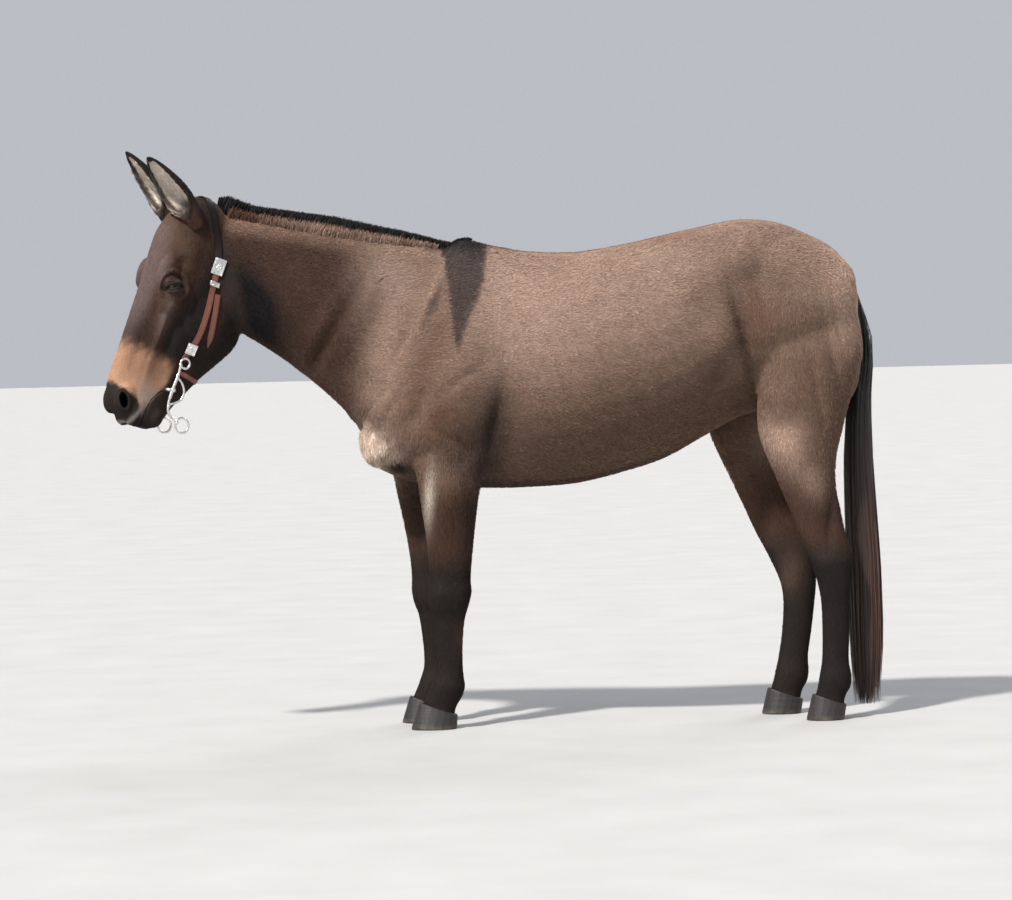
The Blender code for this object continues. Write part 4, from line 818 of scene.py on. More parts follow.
def ear_loft(side, sections, grown=0.0, count=12):
    """The ear's outer form, or the hollow of its cup."""
    root, up, across, opening = ear_frame(side)
    bm = bmesh.new()
    rings = []
    for share, half_width, behind, before in sections:
        middle = root + up * share - opening * (EAR_BOW * share * (1 - share) * up.length)
        middle -= up.normalized() * (2 * grown if not rings else 0)
        ring = []
        for k in range(count):
            angle = 2 * math.pi * k / count
            depth = before if math.sin(angle) > 0 else behind
            out = across * (half_width + grown) * math.cos(angle)
            ring.append(middle + out + opening * (depth + grown) * math.sin(angle))
        rings.append(ring)
    add_loft(bm, rings)
    return bm


def bit_point(side, along, behind, inward=0.0):
    """A point in the upright plane in which one cheek of the bit hangs."""
    return on_face(along, behind, side * (BIT_OUT - inward))


def bit_ring(side, middle, radius, count):
    """Points once round a ring of the bit."""
    angles = [2 * math.pi * k / count for k in range(count)]
    points = [
        bit_point(side, middle[0] + radius * math.cos(angle), middle[1] + radius * math.sin(angle))
        for angle in angles
    ]
    return points + points[:1]


class Value:
    """A shader socket that is written with in plain arithmetic."""

    def __init__(self, tree, socket):
        self.tree, self.socket = tree, socket

    def maths(self, operation, other):
        return self.tree.node("ShaderNodeMath", {"operation": operation}, {0: self, 1: other})

    def __add__(self, other):
        return self.maths("ADD", other)

    def __mul__(self, other):
        return self.maths("MULTIPLY", other)

    def __truediv__(self, other):
        return self.maths("DIVIDE", other)

    def __pow__(self, other):
        return self.maths("POWER", other)

    __radd__, __rmul__ = __add__, __mul__


class Finish:
    """One material and the ways to add nodes to it."""

    def __init__(self, name, roughness=0.6, metallic=0.0, **even):
        self.material = bpy.data.materials.new(name)
        self.material.use_nodes = True
        self.nodes = self.material.node_tree.nodes
        self.links = self.material.node_tree.links
        self.shader = self.nodes["Principled BSDF"]
        self.shader.inputs["Roughness"].default_value = roughness
        self.shader.inputs["Metallic"].default_value = metallic
        for key, value in even.items():
            self.shader.inputs[key.replace("_", " ")].default_value = value

    def node(self, kind, settings=None, inputs=None, output=0):
        """A node with its settings, then the values or links of its sockets."""
        made = self.nodes.new(kind)
        for key, value in (settings or {}).items():
            setattr(made, key, value)
        for key, value in (inputs or {}).items():
            if isinstance(value, Value):
                self.links.new(value.socket, made.inputs[key])
            else:
                made.inputs[key].default_value = value
        return Value(self, made.outputs[output])

    def ramp(self, value, stops):
        """Colours along a value."""
        made = self.nodes.new("ShaderNodeValToRGB")
        self.links.new(value.socket, made.inputs[0])
        for i, (place, colour) in enumerate(stops):
            stop = made.color_ramp.elements[i] if i < 2 else made.color_ramp.elements.new(place)
            stop.position, stop.color = place, (*colour, 1.0)
        return Value(self, made.outputs[0])

    def smooth(self, value, low, high):
        """0 below one value, 1 above another, and soft between them."""
        soft = {"interpolation_type": "SMOOTHSTEP"}
        return self.node("ShaderNodeMapRange", soft, {0: value, 1: low, 2: high})

    def place(self):
        """The place on the piece."""
        return self.node("ShaderNodeTexCoord", output=3)

    def parts(self):
        """The place's x, y and z."""
        place = self.place()
        return [self.node("ShaderNodeSeparateXYZ", None, {0: place}, k) for k in range(3)]

    def noise(self, scale, detail=2.0, roughness=0.5, vector=None):
        """Soft clouds from 0 to 1."""
        return self.node("ShaderNodeTexNoise", None, {
            "Vector": vector or self.place(), "Scale": scale, "Detail": detail, "Roughness": roughness
        })

    def stretched(self, x, y, z):
        """The place, stretched along the axes."""
        return self.node("ShaderNodeVectorMath", {"operation": "MULTIPLY"}, {0: self.place(), 1: (x, y, z)})

    def painted(self, name="coat"):
        """The colour that the surface carries."""
        return self.node("ShaderNodeAttribute", {"attribute_name": name})

    def mixed(self, share, first, second, blend="MIX"):
        """Two colours mixed."""
        made = self.nodes.new("ShaderNodeMix")
        made.data_type, made.blend_type = "RGBA", blend
        for socket, value in zip((made.inputs[0], made.inputs[6], made.inputs[7]), (share, first, second)):
            if isinstance(value, Value):
                self.links.new(value.socket, socket)
            else:
                socket.default_value = value if isinstance(value, float) else (*value, 1.0)
        return Value(self, made.outputs[2])

    def shade(self, colour, share):
        """A colour made lighter or darker by a value round 1."""
        return self.node("ShaderNodeVectorMath", {"operation": "SCALE"}, {0: colour, "Scale": share})

    def bump(self, height, distance, strength=1.0):
        """Small relief."""
        sizes = {"Height": height, "Distance": distance, "Strength": strength}
        self.feed("Normal", self.node("ShaderNodeBump", None, sizes))

    def feed(self, key, value):
        """A value that changes over the surface."""
        self.links.new(value.socket, self.shader.inputs[key])


def soft_step(value, low, high):
    """0 at one value, 1 at another, and soft between them."""
    t = numpy.clip((value - low) / (high - low), 0.0, 1.0)
    return t * t * (3 - 2 * t)


def unit(vectors):
    """Vectors of length 1."""
    return vectors / numpy.maximum(numpy.linalg.norm(vectors, axis=-1, keepdims=True), 1e-9)


def bell(*distances):
    """1 in the middle and falling off softly, from the distances across, each against its reach."""
    return numpy.exp(-sum(distance ** 2 for distance in distances))


def face_ways(points, faces):
    """Each triangle's normal, twice as long as its area."""
    a, b, c = (points[faces[:, k]] for k in range(3))
    return numpy.cross(b - a, c - a)


def painter(colour):
    """A function that lays a tone over the colours, by a share for each point."""

    def paint(share, tone):
        colour[:] = colour + (tone - colour) * numpy.clip(share, 0, 1)[:, None]

    return paint


def waves(points, size, seed):
    """Soft irregular waves from about -1 to 1, some size across."""
    draw = numpy.random.default_rng(seed)
    total = numpy.zeros(len(points))
    for _ in range(7):
        way = draw.normal(size=3)
        way *= draw.uniform(0.6, 1.6) * 2 * math.pi / size / numpy.linalg.norm(way)
        total += numpy.sin(points @ way + draw.uniform(0, PHASES))
    return total / 3.2


def cloud(points, middle, reach, lean=0.0):
    """A soft round cloud, 1 in its middle, leaning about Y by degrees."""
    local = points - numpy.array(middle)
    turn = math.radians(lean)
    x = local[:, 0] * math.cos(turn) - local[:, 2] * math.sin(turn)
    z = local[:, 0] * math.sin(turn) + local[:, 2] * math.cos(turn)
    y = local[:, 1] / reach[1]
    return numpy.exp(-1.6 * ((x / reach[0]) ** 2 + y ** 2 + (z / reach[2]) ** 2))


def both(points, middle, reach, lean=0.0):
    """The same cloud on the left and the right side."""
    mirrored = points * numpy.array((1, -1, 1))
    return numpy.maximum(cloud(points, middle, reach, lean), cloud(mirrored, middle, reach, lean))


def in_face(points):
    """Face measures of points."""
    return moved(points, FACE.inverted())


def head_share(points):
    """1 on the head, 0 on the neck."""
    past = sum((points[:, k] - HEAD_END[k]) * HEAD_END_WAY[k] for k in range(3))
    return 1 - soft_step(past, -0.02, 0.03)


def coat_depth(points):
    """How deep the coat is."""
    depth = 0.0022 + 0.0026 * soft_step(points[:, 2], 0.42, 0.80)
    on_head = 0.0026 - 0.0018 * soft_step(in_face(points)[:, 0], 0.42, 0.60)
    return depth + (on_head - depth) * head_share(points)


def lie(points, normals):
    """Which way the hair lies."""
    x, y, z = points.T
    side = numpy.sign(y)
    count = len(points)

    def way(dx, dy, dz):
        return numpy.stack([numpy.full(count, dx), dy * side, numpy.full(count, dz)], axis=1)

    def turned(old, share, new):
        return unit(old + (new - old) * share[:, None])

    flow = unit(way(1.0, 0.0, -0.28))
    flow = turned(flow, soft_step(z, 1.30, 1.45) * 0.6, unit(way(1.0, 0.25, -0.05)))
    flow = turned(flow, soft_step(-x, 0.20, 0.42), unit(way(0.80, 0.0, -0.60)))
    low = (1 - soft_step(z, 0.86, 1.06)) * (1 - soft_step(x, -0.05, 0.06))
    flow = turned(flow, low, unit(way(0.18, 0.0, -1.0)))
    behind = soft_step(x, 0.72 + 0.10 * (1.20 - z), 0.78 + 0.10 * (1.20 - z)) * (1 - soft_step(z, 1.26, 1.36))
    flow = turned(flow, behind, unit(way(0.22, 0.0, -1.0)))
    flow = turned(flow, soft_step(x, 0.98, 1.08), unit(way(0.30, -0.10, -1.0)))
    flow = turned(flow, 1 - soft_step(z, 0.62, 0.74), unit(way(0.10, 0.0, -1.0)))
    face = in_face(points)
    basis = numpy.array(FACE.to_3x3()).T
    cheek = soft_step(face[:, 1], 0.02, 0.12) * (1 - soft_step(face[:, 0], 0.40, 0.52))
    down = unit(basis[0][None, :] + basis[1][None, :] * (0.15 + 0.75 * cheek[:, None]))
    flow = turned(flow, head_share(points), down)
    swirl = 0.22 * waves(points, 0.16, 3) + 0.12 * waves(points, 0.045, 5)
    flow = flow + numpy.cross(normals, flow) * swirl[:, None]
    flow -= normals * (flow * normals).sum(axis=1, keepdims=True)
    return unit(flow)


# Tones of the coat and the straps
TAN = numpy.array((0.350, 0.240, 0.186))
BROWN = numpy.array((0.180, 0.112, 0.080))
RED_BROWN = numpy.array((0.120, 0.060, 0.040))
DARK = numpy.array((0.034, 0.022, 0.018))
BLACK = numpy.array((0.010, 0.009, 0.009))
MEALY = numpy.array((0.560, 0.320, 0.205))
CREAM = numpy.array((0.700, 0.580, 0.480))
GREY = numpy.array((0.36, 0.32, 0.29))
LEATHER = numpy.array((0.185, 0.062, 0.042))

# Clouds of colour on both sides, laid over each other in this order: middle, reach, lean, share, tone
TRUNK_CLOUDS = (
    ((0.12, 0.24, 1.22), (0.22, 0.4, 0.26), 0, 0.75, TAN * 1.15),  # barrel, with the next entry: a painted highlight on the upper barrel
    ((0.42, 0.24, 1.25), (0.40, 0.4, 0.20), 0, 0.55, TAN),
    ((-0.22, 0.15, 1.16), (0.16, 0.4, 0.26), 20, 0.55, BROWN * 1.25),  # shoulder
    ((-0.38, 0.13, 1.01), (0.10, 0.3, 0.20), 24, 0.9, TAN * 1.35),  # point of the shoulder: painted highlight
    ((0.80, 0.2, 1.25), (0.22, 0.4, 0.26), 0, 0.85, BROWN * 0.92),  # quarter
    ((1.06, 0.1, 1.28), (0.11, 0.3, 0.20), 0, 0.9, TAN * 1.65),  # buttock: painted highlight
    ((0.95, 0.2, 1.05), (0.10, 0.4, 0.22), 0, 0.55, BROWN * 0.9),
)
SHOULDER_CLOUDS = (
    ((-0.70, 0.08, 1.27), (0.070, 0.3, 0.17), -24, 1.6, BLACK * 1.2),  # throat: painted shadow under the jaw
    ((-0.010, 0.20, 0.88), (0.070, 0.3, 0.22), 8, 1.0, DARK * 0.8),  # behind the elbow, with the next entry: painted shade where the leg meets the trunk
    ((-0.09, 0.18, 0.82), (0.110, 0.3, 0.085), 4, 0.8, DARK * 1.5),
    ((-0.15, 0.18, 0.92), (0.060, 0.3, 0.10), 20, 0.6, RED_BROWN * 1.1),
    ((-0.18, 0.18, 1.12), (0.035, 0.3, 0.22), 24, 0.55, RED_BROWN * 1.3),  # shoulder blade
    ((-0.13, 0.18, 0.90), (0.030, 0.2, 0.035), 0, 0.6, BROWN * 1.2),
    # Foot of the neck: a painted highlight with a cool sheen
    ((-0.31, 0.14, 1.33), (0.090, 0.3, 0.075), 28, 0.65, TAN * numpy.array((0.9, 0.95, 1.05))),
    ((0.20, 0.03, 1.42), (0.16, 0.10, 0.03), 0, 0.5, RED_BROWN * 1.6),  # back
    ((0.50, 0.05, 1.45), (0.16, 0.12, 0.04), 0, 0.6, RED_BROWN * 1.5),
)
# Painted shade in the folds and creases of the skin, on both sides
FOLD_SHADE_CLOUDS = (
    ((-0.165, 0.18, 1.275), (0.020, 0.3, 0.10), 24, 0.75, DARK * 1.3),  # painted shade in the crease before the shoulder stripe
    ((0.735, 0.24, 1.16), (0.030, 0.3, 0.17), -14, 0.8, DARK * 1.6),  # painted shade in the fold of the flank
    ((0.79, 0.24, 1.20), (0.050, 0.3, 0.11), -10, 0.6, RED_BROWN * 1.4),
)
LOW_CLOUDS = (
    ((-0.285, 0.10, 0.782), (0.048, 0.12, 0.020), 0, 1.2, DARK),  # under the breast: painted shadow
    ((-0.192, 0.16, 0.695), (0.020, 0.14, 0.110), 4, 1.1, CREAM * 0.62),  # front of the forearm: partly its mealy colour, partly a painted highlight
    ((-0.080, 0.14, 0.640), (0.030, 0.2, 0.150), 0, 0.8, DARK * 1.1),
    ((0.845, 0.22, 0.845), (0.085, 0.3, 0.085), 14, 0.9, TAN * 1.45),  # stifle: painted highlight
    ((0.925, 0.22, 0.735), (0.050, 0.3, 0.090), -30, 0.75, TAN * 1.1),  # gaskin
    ((-0.105, 0.122, 0.27), (0.022, 0.06, 0.07), 0, 0.8, RED_BROWN),  # back of the cannon
)
STRIPE_FRONT = ((1.10, 1.141, 1.277, 1.397, 1.44), (-0.100, -0.108, -0.120, -0.136, -0.155))  # z, x
STRIPE_REAR = ((1.10, 1.141, 1.215, 1.275, 1.334, 1.44), (-0.098, -0.092, -0.068, -0.038, -0.018, -0.008))


def paint_clouds(points, paint, clouds):
    """Soft clouds of colour on both sides."""
    for middle, reach, lean, share, tone in clouds:
        paint(both(points, middle, reach, lean) * share, tone)


def paint_neck(points, paint):
    """A dark neck, partly the coat's own dark brown and partly painted shade, paler along the crest."""
    x, _, z = points.T
    neck = soft_step(-x, 0.28, 0.47)
    # The neck's darkness: partly its own dark coat, partly painted shade
    paint(neck * 0.95, RED_BROWN * 0.50)
    paint(neck * soft_step(z + 0.17 * x, 1.340, 1.395) * 0.85, TAN * numpy.array((0.80, 0.72, 0.68)))
    paint(neck * (0.5 + 0.5 * waves(points, 0.11, 17)) * 0.30, DARK * 1.2)
    paint(neck * (1 - soft_step(z + 0.35 * x, 0.86, 0.98)) * 0.5, BROWN * 0.8)


def paint_stripes(points, paint):
    """The dark line down the back, the stripe over the shoulder and the black withers."""
    x, y, z = points.T
    ridge = bell(y / 0.013) * soft_step(z, 1.36, 1.40) * soft_step(x, -0.10, 0.0)
    paint(ridge * 0.75, DARK)
    front_edge, rear_edge = numpy.interp(z, *STRIPE_FRONT), numpy.interp(z, *STRIPE_REAR)
    stripe = soft_step(x, front_edge - 0.007, front_edge + 0.007)
    stripe *= 1 - soft_step(x, rear_edge - 0.008, rear_edge + 0.008)
    stripe *= soft_step(z, 1.09, 1.16)
    paint(stripe * (0.88 + 0.11 * soft_step(z, 1.36, 1.44)), DARK * numpy.array((1.25, 1.45, 1.75)))
    withers = soft_step(x, -0.215, -0.165) * (1 - soft_step(x, -0.035, -0.015)) * soft_step(z, 1.415, 1.438)
    paint(withers * 0.96, BLACK * 2.0)


def paint_legs(points, paint):
    """Legs that darken to black feet, with painted shade behind and between them and a painted lit patch on
    the far hock.
    """
    x, y, z = points.T
    fore = 1 - soft_step(x, 0.30, 0.50)
    paint(fore * (1 - soft_step(z, 0.66, 0.80)) * 0.9, RED_BROWN * 0.50)
    paint(fore * (1 - soft_step(z, 0.44, 0.56)) * 0.9, BLACK * 1.4)
    paint((1 - fore) * (1 - soft_step(z, 0.62, 0.84)) * 0.85, RED_BROWN * 0.75)
    paint((1 - fore) * (1 - soft_step(z, 0.46, 0.60)) * 0.95, BLACK * 1.5)
    # A painted lit patch on the far hind hock
    paint(cloud(points, (0.895, 0.13, 0.430), (0.045, 0.10, 0.070)) * 0.8, BROWN * 0.95)
    # Painted shade in the hollow at the back of the hind leg
    paint((1 - fore) * both(points, (0.99, 0.15, 0.62), (0.080, 0.2, 0.100)) * 0.6, DARK * 1.2)
    # Painted shade on the insides of the legs
    inner = (1 - soft_step(numpy.abs(y), 0.07, 0.12)) * (1 - soft_step(z, 0.72, 0.90))
    paint(inner * 0.6, DARK)


def paint_head(points, paint):
    """A brown face with dark cheeks, partly painted shade, painted sheen on its front and under the eye, a
    mealy muzzle and black nostrils, lips and eyes.
    """
    head = head_share(points)
    along, behind, out = in_face(points).T

    def spot(middle, reach):
        return head * bell((along - middle[0]) / reach[0], (behind - middle[1]) / reach[1])

    mottled = 0.5 + 0.5 * waves(points, 0.050, 41)
    paint(head * 0.96, RED_BROWN * 0.66)
    paint(head * mottled * 0.35, DARK * 1.3)
    # The lower cheek's black: partly its own dark coat, partly painted shade
    cheek_dark_and_shade = soft_step(behind + 0.25 * along, 0.075, 0.150) * (1 - soft_step(along, 0.44, 0.52))
    paint(head * cheek_dark_and_shade * 0.92, BLACK * 1.6)
    paint(spot((0.300, 0.150), (0.10, 0.030)) * 0.45, RED_BROWN * 0.9)
    # Painted shade in the hollow below the facial crest
    paint(spot((0.400, 0.045), (0.070, 0.022)) * 0.75, BLACK * 2.6)
    # The front plane of the face: a painted cool sheen
    front = head * (1 - soft_step(behind, -0.072, -0.040)) * (1 - soft_step(along, 0.40, 0.50))
    paint(front * soft_step(along, 0.00, 0.12) * 0.80, BROWN * numpy.array((0.85, 0.98, 1.30)))
    paint(spot((0.120, -0.030), (0.070, 0.060)) * 0.50, BROWN * 0.95)
    # A painted highlight on the bone under the eye
    paint(spot((0.345, -0.010), (0.060, 0.022)) * 0.80, BROWN * numpy.array((1.05, 1.15, 1.40)))
    paint(spot((0.420, -0.070), (0.050, 0.040)) * 0.55, DARK * 1.2)
    mealy = soft_step(along - 0.10 * behind + 0.006 * waves(points, 0.030, 43), 0.440, 0.490)
    paint(head * mealy * 0.97, MEALY * 0.85)
    paint(spot((0.580, -0.030), (0.060, 0.045)) * 0.60, MEALY * 1.20)
    paint(spot((0.500, 0.010), (0.045, 0.022)) * 0.40, RED_BROWN * 2.0)
    chin = soft_step(behind + 0.55 * (along - 0.560), 0.045, 0.066)
    paint(head * chin * soft_step(along, 0.44, 0.50) * 0.96, BLACK * 2.0)
    jaw = soft_step(behind, 0.062, 0.085) * soft_step(along, 0.38, 0.46)
    paint(head * jaw * 0.90, DARK)
    paint(spot((0.600, 0.004), (0.045, 0.022)) * 0.85, CREAM * 0.62)
    nose = soft_step(along - 0.30 * (behind + 0.040) + 0.003 * waves(points, 0.02, 47), 0.590, 0.606)
    below = soft_step(behind - 0.50 * (along - 0.600), -0.020, -0.004)
    nose *= 1 - below * (1 - soft_step(along, 0.650, 0.675))
    paint(head * nose * 0.97, BLACK * 1.6)
    stripe_way = behind + 0.42 * (along - 0.600) - 0.022
    paint(head * (bell(stripe_way / 0.0075) * soft_step(along, 0.545, 0.570)) * 0.80, GREY)
    rim = numpy.exp(-(((along - EYE[0]) / 0.024) ** 2 + ((behind - EYE[1]) / 0.024) ** 2) ** 1.5)
    paint(head * rim * soft_step(numpy.abs(out), 0.03, 0.05) * 0.75, BLACK * 1.8)
    paint(spot((0.020, 0.030), (0.060, 0.060)) * 0.75 * (0.6 + 0.6 * mottled), BLACK * 2.5)


def markings(points):
    """The coat's colour at points, with painted light and shade laid over it."""
    x, _, z = points.T
    colour = numpy.repeat(BROWN[None, :], len(points), axis=0)
    paint = painter(colour)
    blotch = 0.5 + 0.5 * waves(points, 0.22, 11)
    paint(soft_step(z, 0.95, 1.30) * (0.55 + 0.3 * blotch), TAN)
    paint_clouds(points, paint, TRUNK_CLOUDS)
    # Painted shade under the belly: darker low on the barrel
    belly = soft_step(x, 0.05, 0.15) * (1 - soft_step(z, 0.80, 1.00)) * (1 - soft_step(x, 0.60, 0.70))
    paint(belly * 0.35, BROWN * 0.65)
    paint_neck(points, paint)
    paint_clouds(points, paint, SHOULDER_CLOUDS)
    paint_stripes(points, paint)
    paint_clouds(points, paint, FOLD_SHADE_CLOUDS)
    paint_legs(points, paint)
    uneven = 0.85 + 0.35 * waves(points, 0.045, 51)
    breast = both(points, (-0.352, 0.06, 0.840), (0.078, 0.15, 0.068), 12)
    paint(breast * 1.4 * uneven, CREAM * numpy.array((1.25, 1.18, 1.15)))
    paint_clouds(points, paint, LOW_CLOUDS)
    paint_head(points, paint)
    return colour


def tinted(colour, draw, spread=0.16):
    """Colours with a small random lightness."""
    return colour * numpy.exp(draw.normal(0.0, spread, len(colour)))[:, None]


def add_mesh(name, points, faces, colours, normals=None, bake=None):
    """An object from arrays, with colours for each point and a baking map for each point."""
    mesh = bpy.data.meshes.new(name)
    count, corners = len(faces), faces.shape[1]
    mesh.vertices.add(len(points))
    mesh.vertices.foreach_set("co", numpy.ascontiguousarray(points, numpy.float32).ravel())
    mesh.loops.add(count * corners)
    mesh.loops.foreach_set("vertex_index", numpy.ascontiguousarray(faces, numpy.int32).ravel())
    mesh.polygons.add(count)
    mesh.polygons.foreach_set("loop_start", numpy.arange(0, count * corners, corners, dtype=numpy.int32))
    mesh.polygons.foreach_set("use_smooth", numpy.ones(count, bool))
    mesh.update(calc_edges=True)
    layer = mesh.attributes.new("coat", "FLOAT_COLOR", "POINT")
    filled = numpy.ones((len(points), 4), numpy.float32)
    filled[:, :3] = colours
    layer.data.foreach_set("color", filled.ravel())
    if bake is not None:
        layer = mesh.uv_layers.new(name="OFBake")
        layer.data.foreach_set("uv", numpy.ascontiguousarray(bake[faces.ravel()], numpy.float32).ravel())
    if normals is not None:
        mesh.normals_split_custom_set_from_vertices(normals.astype(numpy.float32))
    return add_object(name, mesh)


def dressed(obj, finish, slot, *nodes):
    """A piece with its finish, on the body, in place of CAD nodes."""
    obj.data.materials.clear()
    obj.data.materials.append(finish.material)
    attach(obj, "root")
    if nodes:
        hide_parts(*nodes)


def weighted(obj, name, weights):
    """A vertex group from an array, in steps of a twentieth."""
    group = obj.vertex_groups.new(name=name)
    steps = numpy.round(weights * 20).astype(int)
    for step in range(21):
        chosen = numpy.flatnonzero(steps == step)
        if len(chosen):
            group.add(chosen.tolist(), step / 20, "REPLACE")


def skin_form():
    """The flesh in fine triangles."""
    obj = add_object("skin", mesh_from(raw_form(), "skin"))
    modified(obj, "REMESH", mode="VOXEL", voxel_size=SKIN_VOXEL)
    points = arrays(obj.data)[0]
    on_head = (points[:, 0] < -0.80) & (points[:, 2] > 0.88)
    weighted(obj, "soft", numpy.where(on_head, 0.5, numpy.clip((points[:, 2] - 0.45) / 0.35, 0.25, 1.0)))
    modified(obj, "SMOOTH", factor=0.5, iterations=SKIN_ROUNDS, vertex_group="soft")
    points = arrays(obj.data)[0]
    creased = both(points, (0.96, 0.20, 1.16), (0.24, 0.16, 0.13), -20)
    creased = creased + both(points, (-0.06, 0.2, 1.02), (0.14, 0.16, 0.10))
    weighted(obj, "creased", numpy.clip(creased * 1.3, 0, 1))
    modified(obj, "SMOOTH", factor=0.5, iterations=CREASE_ROUNDS, vertex_group="creased")
    swell(obj.data)
    weighted(obj, "thin", 1.0 - head_share(arrays(obj.data)[0]).round())
    ratio = SKIN_FACES / 2 / len(obj.data.polygons)
    modified(obj, "DECIMATE", ratio=min(1.0, ratio), vertex_group="thin", use_collapse_triangulate=True)
    obj.vertex_groups.clear()
    return obj


def inset(obj):
    """The skin drawn in by the coat's depth."""
    points, normals, _ = arrays(obj.data)
    place_points(obj.data, points - normals * coat_depth(points)[:, None])


def ear_skin(side):
    """One ear with its cup, as an object."""
    ear = add_object("ear", mesh_from(ear_loft(side, smooth_rows(EAR_SECTIONS, 4), -0.0012, 40), "ear"))
    cup = helper(ear_loft(side, smooth_rows(EAR_CUP, 4), 0.0006, 40))
    cut(ear, cup)
    return largest_only(ear)


def ear_tones(points, normals, side):
    """The ear's colours, with painted shade deep in its cup, and how far each point is inside its cup."""
    root, up, across, opening = (numpy.array(v) for v in ear_frame(side))
    local = points - root
    share = local @ up / (up @ up)
    off = local @ (across / numpy.linalg.norm(across))
    facing = normals @ opening
    rows = numpy.array(smooth_rows(EAR_CUP, 4))
    half = numpy.interp(share, rows[:, 0], rows[:, 1])
    depth = local @ opening + EAR_BOW * share * (1 - share) * numpy.linalg.norm(up)
    back = numpy.interp(share, rows[:, 0], rows[:, 2])
    within = (numpy.abs(off) < half + 0.002) & (depth > -back - 0.0015) & (share > 0.03) & (share < 0.95)
    inside = within * soft_step(facing + numpy.abs(off) / half * 0.55, 0.05, 0.40)
    colour = numpy.repeat((BLACK * 1.5)[None, :], len(points), axis=0)
    low = (1 - soft_step(share, 0.02, 0.30))[:, None]
    colour += (RED_BROWN * 0.55 - colour) * low * soft_step(facing, -0.5, 0.5)[:, None]
    rearward = off * math.copysign(1.0, across[0]) > 0
    border = half * numpy.where(rearward, 0.22, 0.88)
    edge = soft_step(numpy.abs(off), border, border + half * 0.16)[:, None]
    mottle = 0.5 + 0.5 * waves(points, 0.014, 9) * (1 - soft_step(numpy.abs(off), 0, half * 0.8))
    tone = CREAM * numpy.array((1.28, 1.34, 1.40)) * (0.78 + 0.26 * mottle)[:, None]
    tone = tone + (DARK - tone) * numpy.maximum(edge, soft_step(share, 0.88, 0.97)[:, None])
    # Painted shade deep in the cup, near the root
    deep = (1 - soft_step(share, 0.08, 0.22))[:, None]
    tone = tone + (DARK * 1.5 - tone) * deep * 0.95
    colour += (tone - colour) * inside[:, None]
    return colour, inside, share


def unwrapped(obj):
    """A baking map on the skin's own shape, read back for each triangle's corners."""
    obj.data.uv_layers.new(name="OFBake")
    bpy.ops.object.select_all(action="DESELECT")
    obj.select_set(True)
    bpy.context.view_layer.objects.active = obj
    bpy.ops.object.mode_set(mode="EDIT")
    bpy.ops.mesh.select_all(action="SELECT")
    bpy.ops.uv.smart_project(angle_limit=math.radians(66), island_margin=0.002, area_weight=0.5)
    bpy.ops.object.mode_set(mode="OBJECT")
    uv = numpy.empty(len(obj.data.loops) * 2, numpy.float32)
    obj.data.uv_layers["OFBake"].data.foreach_get("uv", uv)
    return uv.reshape(-1, 2)


def oval(angles, right, up, down, point=1.0):
    """Points round an oval that may reach further up than down and have pointed corners."""
    rise = numpy.sin(angles)
    high = numpy.where(rise > 0, up, down) * numpy.sign(rise) * numpy.abs(rise) ** point
    return numpy.stack((right * numpy.cos(angles), high), axis=-1)


def patch_place(kind, side):
    """The frame of an eye or a nostril: its matrix and the reach of its patch."""
    if kind == "eye":
        return eye_matrix(side), LIDS_REACH
    out = face_direction(0.10, -0.42, side)
    along = face_direction(math.cos(NOSTRIL_TURN), math.sin(NOSTRIL_TURN), 0)
    along = (along - out * along.dot(out)).normalized()
    place = Matrix((along, out.cross(along), out)).transposed().to_4x4()
    place.translation = on_face(NOSTRIL[0], NOSTRIL[1], side * (NOSTRIL[2] - 0.006))
    return place, NOSTRIL_REACH


def patch_reach(points, kind, side):
    """How far out points lie on a patch: 0 in its middle, 1 at its border, and much more elsewhere."""
    place, (wide, up, down) = patch_place(kind, side)
    x, y, z = moved(points, place.inverted()).T
    reach = numpy.hypot(x / wide, y / numpy.where(y > 0, up, down))
    return numpy.where(numpy.abs(z) < 0.045, reach, 9.0)


def ball_height(x, y, radius):
    """The height of a ball over its middle plane."""
    return numpy.sqrt(numpy.maximum(radius ** 2 - x * x - y * y, 1e-6))


def groove(distance, depth, width):
    """A soft groove along a line, from the distance to that line."""
    return -depth * bell(distance / width)


def rim_share(kind, x, y):
    """How far out points lie from the middle of an eye's or a nostril's opening: 1 on its rim."""
    if kind == "eye":
        return numpy.hypot(x / RIM_HALF, y / numpy.where(y > 0, RIM_UP, RIM_DOWN))
    return numpy.hypot(x / NOSTRIL_RIM[0], y / NOSTRIL_RIM[1])


def arch_distance(x, y):
    """How far points lie outside the arch of the brow's fold."""
    return (numpy.hypot((x - 0.002) / 0.036, (y - 0.004) / 0.034) - 1) * 0.034


def eye_relief(x, y):
    """The folds round an eye: what they add to the skin's height."""
    upper = soft_step(y, -0.002, 0.008)
    away = (rim_share("eye", x, y) - 1) * numpy.where(y > 0, RIM_UP, RIM_DOWN)
    arch = arch_distance(x, y)
    relief = 0.0050 * bell(x / 0.030, (y - 0.017) / 0.012)
    relief += groove(away - 0.0060, 0.0020, 0.0016) * upper
    relief += groove(arch, 0.0040, 0.0075) * soft_step(y + 0.5 * x, 0.000, 0.018)
    relief += 0.0022 * bell((arch - 0.014) / 0.008) * upper
    relief += groove(away - 0.0055, 0.0011, 0.0015) * (1 - upper)
    relief += groove(away - 0.0120, 0.0012, 0.0022) * (1 - upper) * bell(x / 0.030)
    return relief - 0.0022 * bell((x - RIM_HALF - 0.004) / 0.007, (y + 0.003) / 0.003)


def nostril_relief(x, y):
    """The raised wings of a nostril."""
    away = rim_share("nostril", x, y) - 1
    relief = 0.0038 * bell((away - 0.28) / 0.34)
    relief += groove((away - 1.05) * 0.015, 0.0016, 0.0030) * (y < 0)
    return relief


